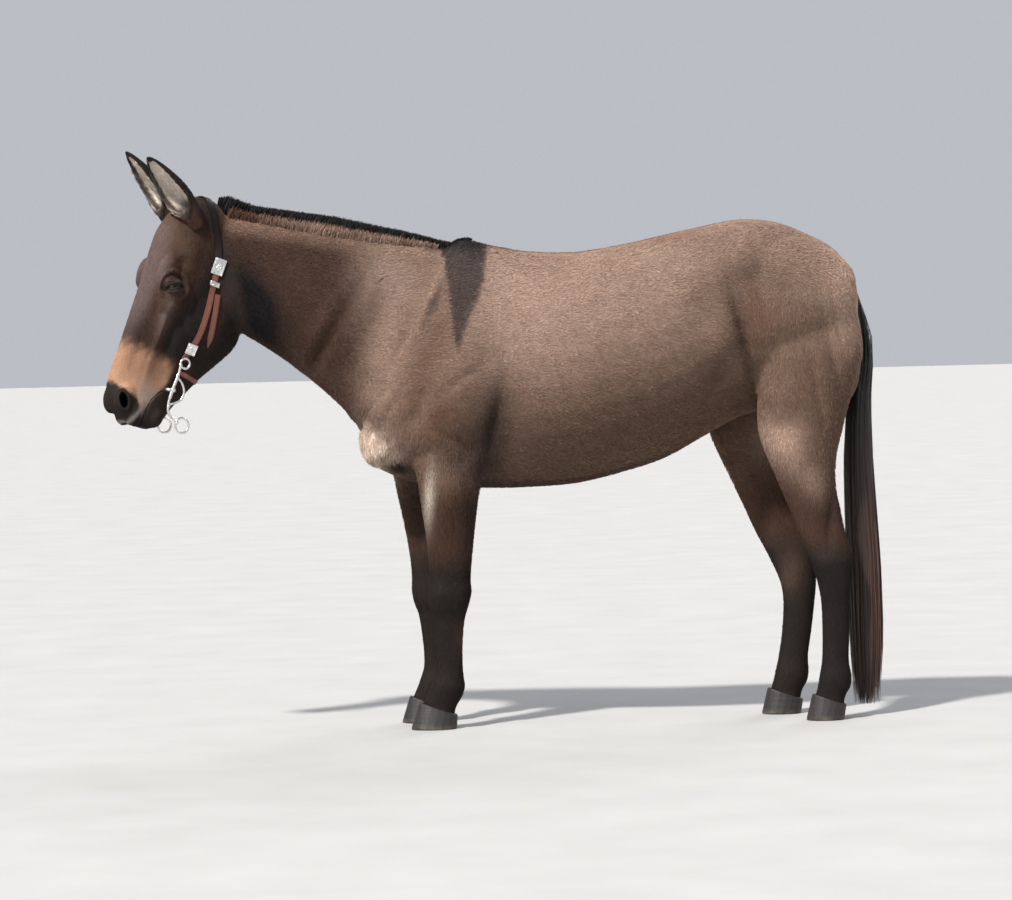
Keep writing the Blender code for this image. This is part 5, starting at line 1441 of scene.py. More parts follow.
def patch_rings(kind):
    """The rim's oval, how pointed it is, and the rings inside it: share of the rim, and depth under it."""
    if kind == "eye":
        return (RIM_HALF, RIM_UP, RIM_DOWN, LID_POINT), ((0.86, None), (0.93, None), (0.985, None))
    inner = ((0.30, 0.030), (0.55, 0.026), (0.74, 0.018), (0.87, 0.0095), (0.95, 0.0035))
    return (NOSTRIL_RIM[0], NOSTRIL_RIM[1], NOSTRIL_RIM[1]), inner


def ring_faces(rings, count):
    """Triangles between rings of points."""
    i, k = numpy.meshgrid(numpy.arange(rings - 1), numpy.arange(count), indexing="ij")
    a, b = i * count + k, i * count + (k + 1) % count
    quads = numpy.stack((a, a + count, b + count, b), axis=-1).reshape(-1, 4)
    return numpy.concatenate((quads[:, (0, 1, 2)], quads[:, (0, 2, 3)]))


def form_patch(tree, kind, side):
    """Fine skin round an eye or a nostril: points, triangles, and each point's local place."""
    place, reach_sizes = patch_place(kind, side)
    rim_sizes, inner = patch_rings(kind)
    angles = numpy.linspace(0, 2 * math.pi, PATCH_POINTS, endpoint=False)
    rim, border = oval(angles, *rim_sizes), oval(angles, *reach_sizes)
    shares = numpy.linspace(0, 1, PATCH_LEVELS) ** 1.5
    flat = [rim * share for share, _ in inner] + [rim + (border - rim) * share for share in shares]
    flat = numpy.array(flat)
    x, y = flat[..., 0], flat[..., 1]
    down = place.to_3x3() @ Vector((0, 0, -1))
    heights = numpy.zeros(x.shape)
    first = len(inner)
    for i in range(first, len(flat)):
        for k in range(PATCH_POINTS):
            start = place @ Vector((x[i, k], y[i, k], PATCH_LOOK))
            hit = tree.ray_cast(start, down, 2 * PATCH_LOOK)[0]
            heights[i, k] = PATCH_LOOK - (hit - start).length if hit else heights[i - 1, k]
    outer = slice(first, None)
    x_out, y_out, reach = x[outer], y[outer], shares[:, None] + numpy.zeros(x[outer].shape)
    heights[outer] -= PATCH_BED
    if kind == "eye":
        heights[outer] += eye_relief(x_out, y_out) * (1 - soft_step(reach, 0.72, 1.0))
        dome = ball_height(x_out, y_out, EYE_RADIUS + 0.0034)
        blend = 0.0012
        heights[outer] = heights[outer] + blend * numpy.logaddexp(0, (dome - heights[outer]) / blend)
        for i, rise in enumerate((-0.0016, -0.0002, 0.0014, 0.0026)):
            heights[i] = ball_height(x[i], y[i], EYE_RADIUS + rise)
    else:
        heights[outer] += nostril_relief(x_out, y_out) * (1 - soft_step(reach, 0.6, 1.0))
        for i, (_, depth) in enumerate(inner):
            heights[i] = heights[first] - depth
    heights[outer] -= 0.0016 * soft_step(reach, 0.86, 1.0)
    local = numpy.stack((x, y, heights), axis=-1).reshape(-1, 3)
    points = moved(local, place)
    faces = ring_faces(len(flat), PATCH_POINTS)
    if (face_ways(points, faces) @ numpy.array(place)[:3, 2]).sum() < 0:
        faces = faces[:, ::-1]
    return points, faces, local


def patch_normals(points, faces):
    """Smooth normals of a patch."""
    flat = face_ways(points, faces)
    normals = numpy.zeros_like(points)
    for k in range(3):
        numpy.add.at(normals, faces[:, k], flat)
    return unit(normals)


def eye_tones(points, local):
    """Colours of the lids: black rims, painted shade in the folds, a painted sheen on the upper lid and a
    paler edge below.
    """
    x, y, _ = local.T
    colour = markings(points)
    paint = painter(colour)
    away = (rim_share("eye", x, y) - 1) * 0.011
    upper = soft_step(y, -0.002, 0.010)
    paint(bell(x / 0.036, (y - 0.012) / 0.016) * 0.70, DARK * 1.3)
    paint(bell((x - 0.021) / 0.011, (y - 0.015) / 0.009) * 0.75, RED_BROWN * 1.7)
    # A painted cool sheen on the top of the upper lid
    paint(bell((x + 0.006) / 0.020, (y - 0.018) / 0.005) * 0.60, numpy.array((0.11, 0.10, 0.11)))
    # Painted shade in the brow's fold
    fold = bell(arch_distance(x, y) / 0.0070) * soft_step(y + 0.3 * x, 0.004, 0.020)
    paint(fold * 0.85, BLACK * 2.0)
    # Painted shade in the crease of the upper lid
    paint(bell((away - 0.0060) / 0.0016) * upper * 0.6, BLACK * 1.6)
    paint((1 - soft_step(away, 0.0024, 0.0046)) * 0.97, BLACK * 1.4)
    under = bell((away - 0.0075) / 0.0026) * (1 - upper) * bell(x / 0.024)
    paint(under * 0.55, numpy.array((0.150, 0.110, 0.085)))
    return colour


def nostril_tones(points, local):
    """Colours round a nostril: black, and darker inside by painted shade."""
    colour = markings(points)
    paint = painter(colour)
    away = rim_share("nostril", local[:, 0], local[:, 1])
    paint((1 - soft_step(away, 1.05, 1.75)) * 0.85, BLACK * 2.2)
    # Painted shade inside the opening
    paint(1 - soft_step(away, 0.80, 1.0), BLACK * 0.4)
    return colour


class Scatter:
    """Random places on triangles of the skin."""

    def __init__(self, points, normals, corners, map_corners, weights, count, draw):
        share = numpy.linalg.norm(face_ways(points, corners), axis=1) / 2 * weights
        chosen = draw.choice(len(corners), size=count, p=share / share.sum())
        u, v = draw.random((2, count))
        over = u + v > 1
        u[over], v[over] = 1 - u[over], 1 - v[over]
        parts = (1 - u - v, u, v)
        self.points = sum(part[:, None] * points[corners[chosen, k]] for k, part in enumerate(parts))
        self.normals = unit(sum(part[:, None] * normals[corners[chosen, k]] for k, part in enumerate(parts)))
        self.spots = sum(part[:, None] * map_corners[chosen, k] for k, part in enumerate(parts))
        self.chosen = chosen


def tuft_length(points):
    """How long the tufts are."""
    z = points[:, 2]
    length = 0.0085 + 0.0036 * soft_step(z, 0.45, 0.85)
    length += 0.003 * (1 - soft_step(z, 0.76, 0.90)) * soft_step(z, 0.66, 0.72)
    along, behind, _ = in_face(points).T
    on_head = 0.0100 - 0.0035 * (1 - soft_step(behind, 0.02, 0.10)) - 0.0025 * soft_step(along, 0.42, 0.58)
    return length + (on_head - length) * head_share(points)


def tufts(name, scatter, ways, lengths, lifts, colours, draw):
    """Thin pointed tufts, each a folded blade lying on the skin."""
    count = len(scatter.points)
    normals = scatter.normals
    across = unit(numpy.cross(ways, normals))
    lengths = lengths * draw.uniform(0.7, 1.25, count)
    widths = lengths * TUFT_SLENDER * draw.uniform(0.75, 1.25, count)
    lifts = lifts * draw.uniform(0.55, 1.25, count)
    root = scatter.points - normals * 0.0004
    half = across * (widths / 2)[:, None]
    left, right = root - half, root + half
    ridge = root + ways * (lengths * 0.42)[:, None] + normals * (lifts * 0.62 + 0.0002)[:, None]
    tip = root + ways * lengths[:, None] + normals * lifts[:, None]
    tip += across * (lengths * draw.normal(0, 0.07, count))[:, None]
    points = numpy.stack((left, right, ridge, tip), axis=1).reshape(-1, 3)
    start = numpy.arange(count)[:, None] * 4
    faces = numpy.concatenate((start + (0, 2, 3), start + (2, 1, 3)), axis=1).reshape(-1, 3)
    lean = draw.normal(0, 0.16, (count, 1))
    shaded = numpy.stack((
        unit(normals - across * 0.30), unit(normals + across * 0.30),
        unit(normals + across * lean - ways * 0.10), unit(normals + across * lean + ways * 0.20),
    ), axis=1).reshape(-1, 3)
    tones = tinted(colours, draw)
    painted = numpy.stack((tones * 0.72, tones * 0.72, tones * 0.98, tones * 1.28), axis=1).reshape(-1, 3)
    corner = numpy.array(((-1, -1), (1, -1), (0, 0), (0, 1))) * 0.0015
    bake = (scatter.spots[:, None, :] + corner[None, :, :]).reshape(-1, 2)
    return add_mesh(name, points, faces, painted, shaded, bake)


def ribbons(name, paths, widths, facing, colours):
    """Flat tapered strands along paths: paths are (strands, steps, 3) and widths and colours go with them."""
    count, steps, _ = paths.shape
    along = unit(numpy.gradient(paths, axis=1))
    across = unit(numpy.cross(along, facing))
    half = across * (widths / 2)[..., None]
    points = numpy.stack((paths - half, paths + half), axis=2).reshape(-1, 3)
    base = numpy.arange(count)[:, None] * steps * 2 + numpy.arange(steps - 1)[None, :] * 2
    base = base.reshape(-1, 1)
    faces = numpy.concatenate((base + (0, 1, 3), base + (0, 3, 2)), axis=1).reshape(-1, 3)
    out = unit(numpy.cross(across, along))
    flip = numpy.sign((out * facing).sum(axis=2, keepdims=True))
    out = out * numpy.where(flip == 0, 1, flip)
    roll = across * 0.3
    shaded = numpy.stack((unit(out - roll), unit(out + roll)), axis=2).reshape(-1, 3)
    painted = numpy.repeat(colours[:, :, None, :], 2, axis=2).reshape(-1, 3)
    share = numpy.linspace(0, 1, steps)[None, :, None]
    line = grid_spots(count)[:, None, :] + (share - 0.5) * (0, 0.003)
    spots = numpy.stack((line - (0.0015, 0), line + (0.0015, 0)), axis=2).reshape(-1, 2)
    return add_mesh(name, points, faces, painted, shaded, spots)


def grid_spots(count):
    """A place on a square for each of many strands."""
    side = math.ceil(math.sqrt(count))
    k = numpy.arange(count)
    return numpy.stack(((k % side + 0.5) / side, (k // side + 0.5) / side), axis=1)


REGIONS = (  # name, what is in it
    ("head", lambda x, y, z, head: head > 0.5),
    ("neck", lambda x, y, z, head: (head <= 0.5) & (x < -0.33)),
    ("forehand", lambda x, y, z, head: (x >= -0.33) & (x < 0.06) & (z > 0.76)),
    ("left_barrel", lambda x, y, z, head: (x >= 0.06) & (x < 0.62) & (y < 0) & (z > 0.6)),
    ("right_barrel", lambda x, y, z, head: (x >= 0.06) & (x < 0.62) & (y >= 0) & (z > 0.6)),
    ("left_quarter", lambda x, y, z, head: (x >= 0.62) & (y < 0) & (z > 0.76)),
    ("right_quarter", lambda x, y, z, head: (x >= 0.62) & (y >= 0) & (z > 0.76)),
    ("legs", lambda x, y, z, head: z <= 0.76),
)


def add_coat(points, normals, corners, map_corners, finish, draw):
    """The short coat all over the body, in pieces."""
    middles = points[corners].mean(axis=1)
    weights = 1.0 / tuft_length(middles) ** 2
    for kind in PATCH_TUFTS:
        for _, side in SIDES:
            weights = weights * soft_step(patch_reach(middles, kind, side), 0.90, 0.96)
    shares = numpy.linalg.norm(face_ways(points, corners), axis=1) / 2 * weights
    head = head_share(middles)
    free = numpy.ones(len(corners), bool)
    for name, rule in REGIONS:
        mine = free & rule(*middles.T, head)
        free &= ~mine
        count = min(TUFTS_MOST, int(TUFTS * (shares[mine].sum() / shares.sum())))
        spread = Scatter(points, normals, corners[mine], map_corners[mine], weights[mine], count, draw)
        colours = markings(spread.points)
        flecks = 1 + 0.07 * waves(spread.points, 0.009, 23) + 0.06 * waves(spread.points, 0.035, 29)
        colours *= flecks[:, None]
        ways, lifts = lie(spread.points, spread.normals), coat_depth(spread.points)
        piece = tufts(f"coat_{name}", spread, ways, tuft_length(spread.points), lifts, colours, draw)
        dressed(piece, finish, "coat")


def add_patch_hair(patches, spots, finish, draw):
    """Very short hair on the fine skin round the eyes and the nostrils."""
    start = 0
    for kind, name, points, faces, local, tones in patches:
        mine = spots[start:start + len(faces)]
        start += len(faces)
        x, y, _ = local[faces].mean(axis=1).T
        weights = soft_step(rim_share(kind, x, y), *PATCH_BALD[kind])
        spread = Scatter(points, patch_normals(points, faces), faces, mine, weights, PATCH_TUFTS[kind], draw)
        border = soft_step(patch_reach(spread.points, kind, dict(SIDES)[name]), 0.55, 0.95)
        lengths, lifts = 0.0042 + 0.0046 * border, 0.0011 + 0.0014 * border
        ways, colours = lie(spread.points, spread.normals), tones[faces[spread.chosen, 0]]
        piece = tufts(f"coat_{name}_{kind}", spread, ways, lengths, lifts, colours, draw)
        dressed(piece, finish, "coat")


def add_ear_hair(side, name, points, normals, corners, map_corners, finish, draw):
    """Short hair over the ear and longer hair in its cup."""
    inner = ear_tones(points[corners].mean(axis=1), unit(normals[corners].mean(axis=1)), side)[1]
    spread = Scatter(points, normals, corners, map_corners, 1 + 1.5 * inner, EAR_TUFTS, draw)
    _, up, _, opening = (numpy.array(v) for v in ear_frame(side))
    colours, inside, share = ear_tones(spread.points, spread.normals, side)
    ways = unit(up)[None, :] + opening[None, :] * (0.25 * inside)[:, None]
    ways = ways - spread.normals * (ways * spread.normals).sum(axis=1, keepdims=True)
    ways = unit(ways + 0.25 * numpy.cross(spread.normals, ways) * waves(spread.points, 0.02, 31)[:, None])
    lengths = 0.006 + 0.009 * inside * (1 - soft_step(share, 0.6, 0.95))
    lifts = 0.0014 + 0.0050 * inside * (1 - soft_step(share, 0.5, 0.9))
    dressed(tufts(f"{name}_ear_hair", spread, ways, lengths, lifts, colours, draw), finish, "coat")


def upright_strands(name, tree, x, off, share, tones, finish, draw, wide):
    """Short upright hair on the crest: places along and off it, shares of the mane's height, tones."""
    count = len(x)
    rows = numpy.array([(row[0], row[4]) for row in smooth_rows(NECK, 6)])
    rows = rows[numpy.argsort(rows[:, 0])]
    brush = numpy.array(MANE_BRUSH)
    top = numpy.interp(x, brush[:, 0], brush[:, 1])
    half = numpy.interp(x, brush[:, 0], brush[:, 2])
    y = numpy.interp(x, rows[:, 0], rows[:, 1]) + off * half
    down = Vector((0, 0, -1))
    crest = numpy.array([tree.ray_cast(Vector((a, b, 1.9)), down)[0].z for a, b in zip(x, y)])
    root = numpy.stack((x, y, crest - 0.006), axis=1)
    height = numpy.maximum(top - root[:, 2], 0.009) * share + draw.normal(0, 0.0016, count)
    sway = draw.normal(0, 0.12, (count, 2)) * height[:, None]
    steps = numpy.linspace(0, 1, 4)
    paths = root[:, None, :] + numpy.zeros((1, 4, 3))
    paths[:, :, 2] += height[:, None] * steps
    paths[:, :, 0] += (0.30 * height + sway[:, 0])[:, None] * steps ** 1.5
    paths[:, :, 1] += (off * half * 0.45 + sway[:, 1])[:, None] * steps ** 1.5
    widths = draw.uniform(0.6, 1.2, count)[:, None] * wide * numpy.array((1.0, 0.95, 0.8, 0.25))
    turn = draw.uniform(0, math.pi, count)
    facing = numpy.stack((numpy.cos(turn), numpy.sin(turn), numpy.zeros(count)), axis=1)
    facing = numpy.repeat(facing[:, None, :], 4, axis=1)
    colours = tinted(tones, draw, 0.25)[:, None, :] * numpy.array((0.8, 0.95, 1.05, 1.25))[None, :, None]
    dressed(ribbons(name, paths, widths, facing, colours), finish, "black_hair")


def add_mane(tree, finish, draw):
    """The clipped mane, a dense upright brush on the crest, with lighter hair along both its sides."""
    start, end = MANE_BRUSH[0][0], MANE_BRUSH[-1][0]
    x = draw.uniform(start, end, MANE_STRANDS)
    off = draw.normal(0, 0.42, MANE_STRANDS).clip(-1, 1)
    share = 1 - 0.16 * numpy.abs(off)
    black = numpy.repeat((BLACK * 1.3)[None, :], MANE_STRANDS, axis=0)
    upright_strands("mane", tree, x, off, share, black, finish, draw, MANE_STRAND_WIDTH)
    x = draw.uniform(start + 0.03, -0.15, FRINGE_STRANDS)
    off = draw.uniform(1.0, 1.9, FRINGE_STRANDS) * draw.choice((-1, 1), size=FRINGE_STRANDS)
    share = draw.uniform(0.25, 0.62, FRINGE_STRANDS) * (1 - 0.25 * (numpy.abs(off) - 1.0))
    light = 0.5 + 0.5 * numpy.sin(x * 57) * numpy.sin(x * 23 + 1.0)
    pale = soft_step(x, -0.74, -0.60) * (0.5 + 0.5 * light)
    fringe = RED_BROWN + (TAN * 1.05 - RED_BROWN) * pale[:, None]
    upright_strands("mane_fringe", tree, x, off, share, fringe, finish, draw, FRINGE_STRAND_WIDTH)


def add_tail_hair(finish, draw):
    """The long tail, strand by strand, from the dock down."""
    count, steps = TAIL_STRANDS, TAIL_STEPS
    form = numpy.array(TAIL_FORM)[::-1]
    angle = draw.uniform(0, 2 * math.pi, count)
    reach = numpy.sqrt(draw.uniform(0.10, 1.0, count))
    start = 1.30 - 0.60 * draw.uniform(0, 1, count) ** 1.4
    end = numpy.clip(start - draw.uniform(0.55, 1.25, count), 0.075, None)
    end = end + draw.uniform(0, 0.12, count) ** 1.3
    end = numpy.where(draw.random(count) < 0.6, 0.034 + 0.30 * draw.uniform(0, 1, count) ** 1.6, end)
    t = numpy.linspace(0, 1, steps)[None, :]
    z = start[:, None] + (end - start)[:, None] * t
    outer = numpy.interp(z, form[:, 0], form[:, 1])
    deep = numpy.interp(z, form[:, 0], form[:, 2])
    wide = numpy.interp(z, form[:, 0], form[:, 3])
    grow = 0.15 + 0.85 * soft_step(t, 0.0, 0.22)
    wave = draw.uniform(0, PHASES, (count, 1))
    drift = 0.10 * numpy.sin(4.5 * t + wave) + 0.05 * numpy.sin(11 * t + 2 * wave)
    radius = reach[:, None] * grow * (1 - 0.12 * t ** 3 * draw.uniform(0, 1, (count, 1)))
    turn = angle[:, None] + 0.5 * drift
    paths = numpy.stack((
        outer - deep / 2 + numpy.cos(turn) * radius * deep / 2,
        numpy.sin(turn) * radius * wide,
        z,
    ), axis=2)
    taper = numpy.clip((1 - t) * 4.0, 0.12, 1.0) * numpy.clip(0.5 + 3 * t, 0, 1)
    widths = draw.uniform(0.0030, 0.0062, count)[:, None] * taper
    facing = numpy.stack((numpy.cos(turn), numpy.sin(turn), numpy.zeros_like(turn)), axis=2)
    facing = unit(facing + draw.normal(0, 0.25, (count, 1, 3)))
    tone = tinted(numpy.repeat((BLACK * 1.1)[None, :], count, axis=0), draw, 0.3)
    rust = numpy.array((0.170, 0.056, 0.030)) * draw.uniform(0.4, 1.3, count)[:, None]
    rear = soft_step(numpy.cos(turn), -0.1, 0.9)
    rusty = draw.choice((0.10, 0.95), size=(count, 1), p=(0.55, 0.45))
    share = soft_step(-z, -1.00, -0.45) * rusty * (0.25 + 0.75 * rear)
    colours = tone[:, None, :] + (rust[:, None, :] - tone[:, None, :]) * share[..., None]
    dressed(ribbons("tail_hair", paths, widths, facing, colours), finish, "black_hair", "tail")


def round_tube(points, radii, count=12):
    """A smooth rod of changing thickness, with flat ends."""
    bm = bmesh.new()
    rings = []
    last = len(points) - 1
    facing = Vector((0.31, 0.52, 0.79))
    for i, (point, radius) in enumerate(zip(points, radii)):
        along = (points[min(i + 1, last)] - points[max(i - 1, 0)]).normalized()
        across = along.cross(facing).normalized()
        up = across.cross(along)
        angles = [2 * math.pi * k / count for k in range(count)]
        rings.append([point + across * radius * math.cos(a) + up * radius * math.sin(a) for a in angles])
    add_loft(bm, rings)
    return smoothed(mesh_from(bm, "rod"))


def ball_mesh(matrix, around, down, radius=1.0):
    """A ball in a place."""
    bm = bmesh.new()
    bmesh.ops.create_uvsphere(bm, u_segments=around, v_segments=down, radius=radius, matrix=matrix)
    return mesh_from(bm, "ball")


def joined(name, meshes):
    """One object from several meshes."""
    bm = bmesh.new()
    for mesh in meshes:
        bm.from_mesh(mesh)
        bpy.data.meshes.remove(mesh)
    whole = bpy.data.meshes.new(name)
    bm.to_mesh(whole)
    bm.free()
    return add_object(name, whole)


def lid_line(side, upper, rise, grown, count=40):
    """Points along one lid's rim, from corner to corner."""
    place = eye_matrix(side)
    angles = numpy.linspace(0, math.pi, count) * (1 if upper else -1)
    flat = oval(angles, RIM_HALF, RIM_UP, RIM_DOWN, LID_POINT) * grown
    heights = ball_height(flat[:, 0], flat[:, 1], EYE_RADIUS + rise)
    return [place @ Vector((x, y, z)) for (x, y), z in zip(flat, heights)]


def add_lid_rims(name, side, finish):
    """The moist edges of the lids where they meet the eye."""
    swell_up = [0.5 + 0.5 * math.sin(math.pi * k / 39) for k in range(40)]
    meshes = [
        round_tube(lid_line(side, True, 0.0012, 0.985), [0.0011 * s for s in swell_up], 8),
        round_tube(lid_line(side, False, 0.0010, 0.975), [0.0012 * s for s in swell_up], 8),
    ]
    dressed(joined(f"{name}_lid_rims", meshes), finish, "coat")


def add_lashes(name, side, finish, draw):
    """Lashes on the upper lid."""
    line = lid_line(side, True, 0.0026, 1.02, 110)[18:96:2]
    place = eye_matrix(side)
    out, down = place.to_3x3() @ Vector((0, 0, 1)), place.to_3x3() @ Vector((0, -1, 0))
    paths, widths = [], []
    for point in line:
        length = draw.uniform(0.007, 0.012)
        way = (out + down * draw.uniform(0.25, 0.6) + Vector(draw.normal(0, 0.14, 3))).normalized()
        bend = down * 0.10
        paths.append([point + way * length * t + bend * length * t * t for t in (0, 0.35, 0.7, 1.0)])
        widths.append([0.0005, 0.0004, 0.0003, 0.0001])
    paths = numpy.array(paths)
    facing = numpy.broadcast_to(numpy.array(out), paths.shape)
    colours = numpy.broadcast_to(BLACK, paths.shape)
    lashes = ribbons(f"{name}_lashes", paths, numpy.array(widths), facing, colours)
    dressed(lashes, finish, "black_hair")


def add_eye_ball(name, side, finish):
    """The moist eye in its socket, with a bulging front."""
    bm = bmesh.new()
    bmesh.ops.create_uvsphere(bm, u_segments=48, v_segments=32, radius=EYE_RADIUS)
    for vertex in bm.verts:
        if vertex.co.z > 0.012:
            vertex.co.z += 0.0012 * min(1.0, (vertex.co.z - 0.012) / 0.006)
    ball = add_object(f"{name}_eye_ball", smoothed(mesh_from(bm, "ball")))
    ball.matrix_world = eye_matrix(side)
    bpy.context.view_layer.update()
    dressed(ball, finish, "eye", f"{name}_eye")


def strap(name, points, normals, width, finish, slot, node):
    """A leather strap with rounded, darker edges: partly the leather's dark edges, partly painted shade, with
    a painted highlight on its crown. A billet narrows to its end.
    """
    count = len(points)
    paths = numpy.array(points)
    outs = numpy.array([tuple(n) for n in normals])
    along = unit(numpy.gradient(paths, axis=0))
    across = unit(numpy.cross(along, outs))
    turned = numpy.cross(across, along)
    outs = unit(turned * numpy.sign((turned * outs).sum(axis=1))[:, None])
    edge = [(-1.00, -STRAP_BED, STRAP_BED_SHADE)]
    edge += [(off, STRAP_RISE * share, tone) for off, share, tone in STRAP_EDGE]
    shape = edge + [(0.0, STRAP_RISE * STRAP_CROWN[0], STRAP_CROWN[1])]
    shape += [(-off, height, tone) for off, height, tone in edge[::-1]]
    size = len(shape)
    rings, colours, triangles = [], [], []
    for i in range(count):
        narrowed = min(1.0, 0.20 + 0.80 * (count - 1 - i) / 3) if "billet" in name else 1.0
        for off, height, tone in shape:
            rings.append(paths[i] + across[i] * off * (width / 2 * narrowed) + outs[i] * height)
            colours.append(LEATHER * tone)
    for i in range(count - 1):
        for j in range(size):
            a, b = i * size + j, i * size + (j + 1) % size
            triangles += [(a, b, b + size), (a, b + size, a + size)]
    for base, order in ((0, 1), ((count - 1) * size, -1)):
        cap = range(base, base + size)[::order]
        triangles += [(cap[0], cap[j], cap[j + 1]) for j in range(1, size - 2)]
    piece = add_mesh(name, numpy.array(rings), numpy.array(triangles), numpy.array(colours))
    smooth_by_angle(piece, 50)
    dressed(piece, finish, slot, node)


def plate_piece(middle, turn, sizes):
    """A bevelled plate with a raised rope edge, a ring of beads and a boss."""
    plate = add_object("plate", mesh_from(box_at(middle, turn, sizes), "plate"))
    modified(plate, "BEVEL", width=0.0018, segments=4)
    meshes = [plate.data.copy()]
    bpy.data.objects.remove(plate, do_unlink=True)
    length, width, thick = sizes
    place = Matrix.Translation(middle) @ turn
    edge = []
    for k in range(64):
        angle = 2 * math.pi * k / 64
        x = (length / 2 - 0.0035) * power(math.cos(angle), 0.35)
        y = (width / 2 - 0.0035) * power(math.sin(angle), 0.35)
        edge.append(place @ Vector((x, y, thick / 2)))
    meshes.append(round_tube(edge + edge[:1], [0.0010] * 65, 8))
    for k in range(12):
        angle = 2 * math.pi * k / 12
        reach = 0.55 if k % 2 else 0.75
        x, y = length * 0.28 * math.cos(angle) * reach, width * 0.28 * math.sin(angle) * reach
        bead = Matrix.Translation(place @ Vector((x, y, thick / 2)))
        meshes.append(ball_mesh(bead, 10, 6, 0.0013))
    boss = Matrix.Diagonal((length * 0.14, width * 0.14, 0.0016, 1))
    meshes.append(ball_mesh(place @ Matrix.Translation((0, 0, thick / 2)) @ boss, 20, 10))
    return meshes


def buckle_places(tree):
    """Each buckle's name, middle, turn and sizes."""
    for name, side in SIDES:
        for kind, (along, behind), length, width, thickness in BUCKLES:
            line = ((along - length * 0.45, behind), (along, behind), (along + length * 0.45, behind))
            points, normals = cheek_points(tree, line, side, 3)
            normal = sum(normals, Vector()).normalized()
            down = (points[-1] - points[0]).normalized()
            across = down.cross(normal).normalized()
            up = across.cross(down)
            if up.dot(normal) < 0:
                up = -up
            high = max((point - points[1]).dot(up) for point in points)
            middle = points[1] + up * (high + STRAP_RISE - BUCKLE_SUNK + thickness / 2)
            turn = Matrix((down, across, up)).transposed().to_4x4()
            yield f"{name}_{kind}", middle, turn, (length, width, thickness)


def add_bridle(tree, finishes):
    """The headstall and the bit, finer than their solids."""
    for name, points, normals, width in strap_pieces(tree):
        key, slot = ("black", "black_leather") if name == "crown_strap" else ("leather", "leather")
        strap(f"{name}_leather", points, normals, width, finishes[key], slot, name)
    for name, middle, turn, sizes in buckle_places(tree):
        piece = joined(f"{name}_plate", plate_piece(middle, turn, sizes))
        smooth_by_angle(piece)
        dressed(piece, finishes["steel"], "polished_steel", name)
    for name, side in SIDES:
        rods = (
            ([bit_point(side, *spot) for spot in smooth_path(SHANK, 40)],
             [WIRE * (1.15 if 6 < k < 22 else 0.9) for k in range(40)]),
            ([bit_point(side, *spot) for spot in smooth_path(LOOP, 30)], [WIRE * 0.85] * 30),
            (bit_ring(side, HOOK, HOOK_RADIUS, 40), [WIRE * 0.8] * 41),
            (bit_ring(side, REIN_RING, REIN_RING_RADIUS, 48), [WIRE * 0.8] * 49),
            ([bit_point(side, *spot) for spot in MOUTHPIECE], [WIRE * 1.2] * 3),
        )
        meshes = [round_tube(points, radii) for points, radii in rods]
        for spot, radius in SHANK_KNOBS:
            meshes.append(smoothed(ball_mesh(Matrix.Translation(bit_point(side, *spot)), 20, 12, radius)))
        dressed(joined(f"{name}_bit_rods", meshes), finishes["steel"], "polished_steel", f"{name}_bit")


def hide_finish():
    """Bare skin under the coat."""
    made = Finish("hide", 0.75, Specular_IOR_Level=0.12)
    fine = made.noise(420.0, 3.0, 0.6, made.stretched(1.0, 1.6, 0.7))
    broad = made.noise(70.0, 3.0, 0.6)
    made.feed("Base Color", made.shade(made.painted(), 0.52 + 0.30 * fine + 0.16 * broad))
    made.bump(fine, 0.0012, 0.6)
    return made


def coat_finish():
    """Short hair."""
    made = Finish("short_coat", 0.62, Specular_IOR_Level=0.16)
    fleck = made.noise(900.0, 2.0, 0.6)
    clouds = made.noise(9.0, 3.0, 0.6)
    made.feed("Base Color", made.shade(made.painted(), 0.62 + 0.42 * fleck + 0.34 * clouds))
    made.feed("Roughness", 0.52 + 0.2 * fleck)
    return made


def hair_finish():
    """Long hair."""
    made = Finish("long_hair", 0.42, Specular_IOR_Level=0.45)
    strand = made.noise(1200.0, 2.0, 0.5)
    made.feed("Base Color", made.shade(made.painted(), 0.7 + 0.6 * strand))
    made.feed("Roughness", 0.36 + 0.18 * strand)
    return made


def eye_finish():
    """A moist brown eye with a long level pupil."""
    made = Finish("moist_eye", 0.05, Coat_Weight=0.0, Specular_IOR_Level=0.30)
    x, y, _ = made.parts()
    ring = (x * x + y * y) ** 0.5
    pupil = ((x / 0.0092) ** 2.0 + (y / 0.0044) ** 2.0) ** 0.5
    streaks = made.noise(260.0, 4.0, 0.7)
    iris = made.ramp(streaks, ((0.3, (0.012, 0.006, 0.004)), (0.7, (0.045, 0.020, 0.010))))
    colour = made.mixed(made.smooth(pupil, 1.15, 0.85), iris, (0.003, 0.003, 0.004))
    colour = made.mixed(made.smooth(ring, 0.0150, 0.0175), colour, (0.030, 0.016, 0.012))
    made.feed("Base Color", colour)
    made.feed("Roughness", 0.05 + 0.04 * streaks)
    return made


def lid_finish():
    """The lids' bare black edges."""
    made = Finish("bare_skin", 0.45, Specular_IOR_Level=0.5)
    pores = made.noise(900.0, 3.0, 0.6)
    made.feed("Base Color", made.ramp(pores, ((0.3, (0.005, 0.004, 0.004)), (0.75, (0.014, 0.012, 0.011)))))
    made.feed("Roughness", 0.38 + 0.25 * pores)
    made.bump(pores, 0.0006, 0.7)
    return made


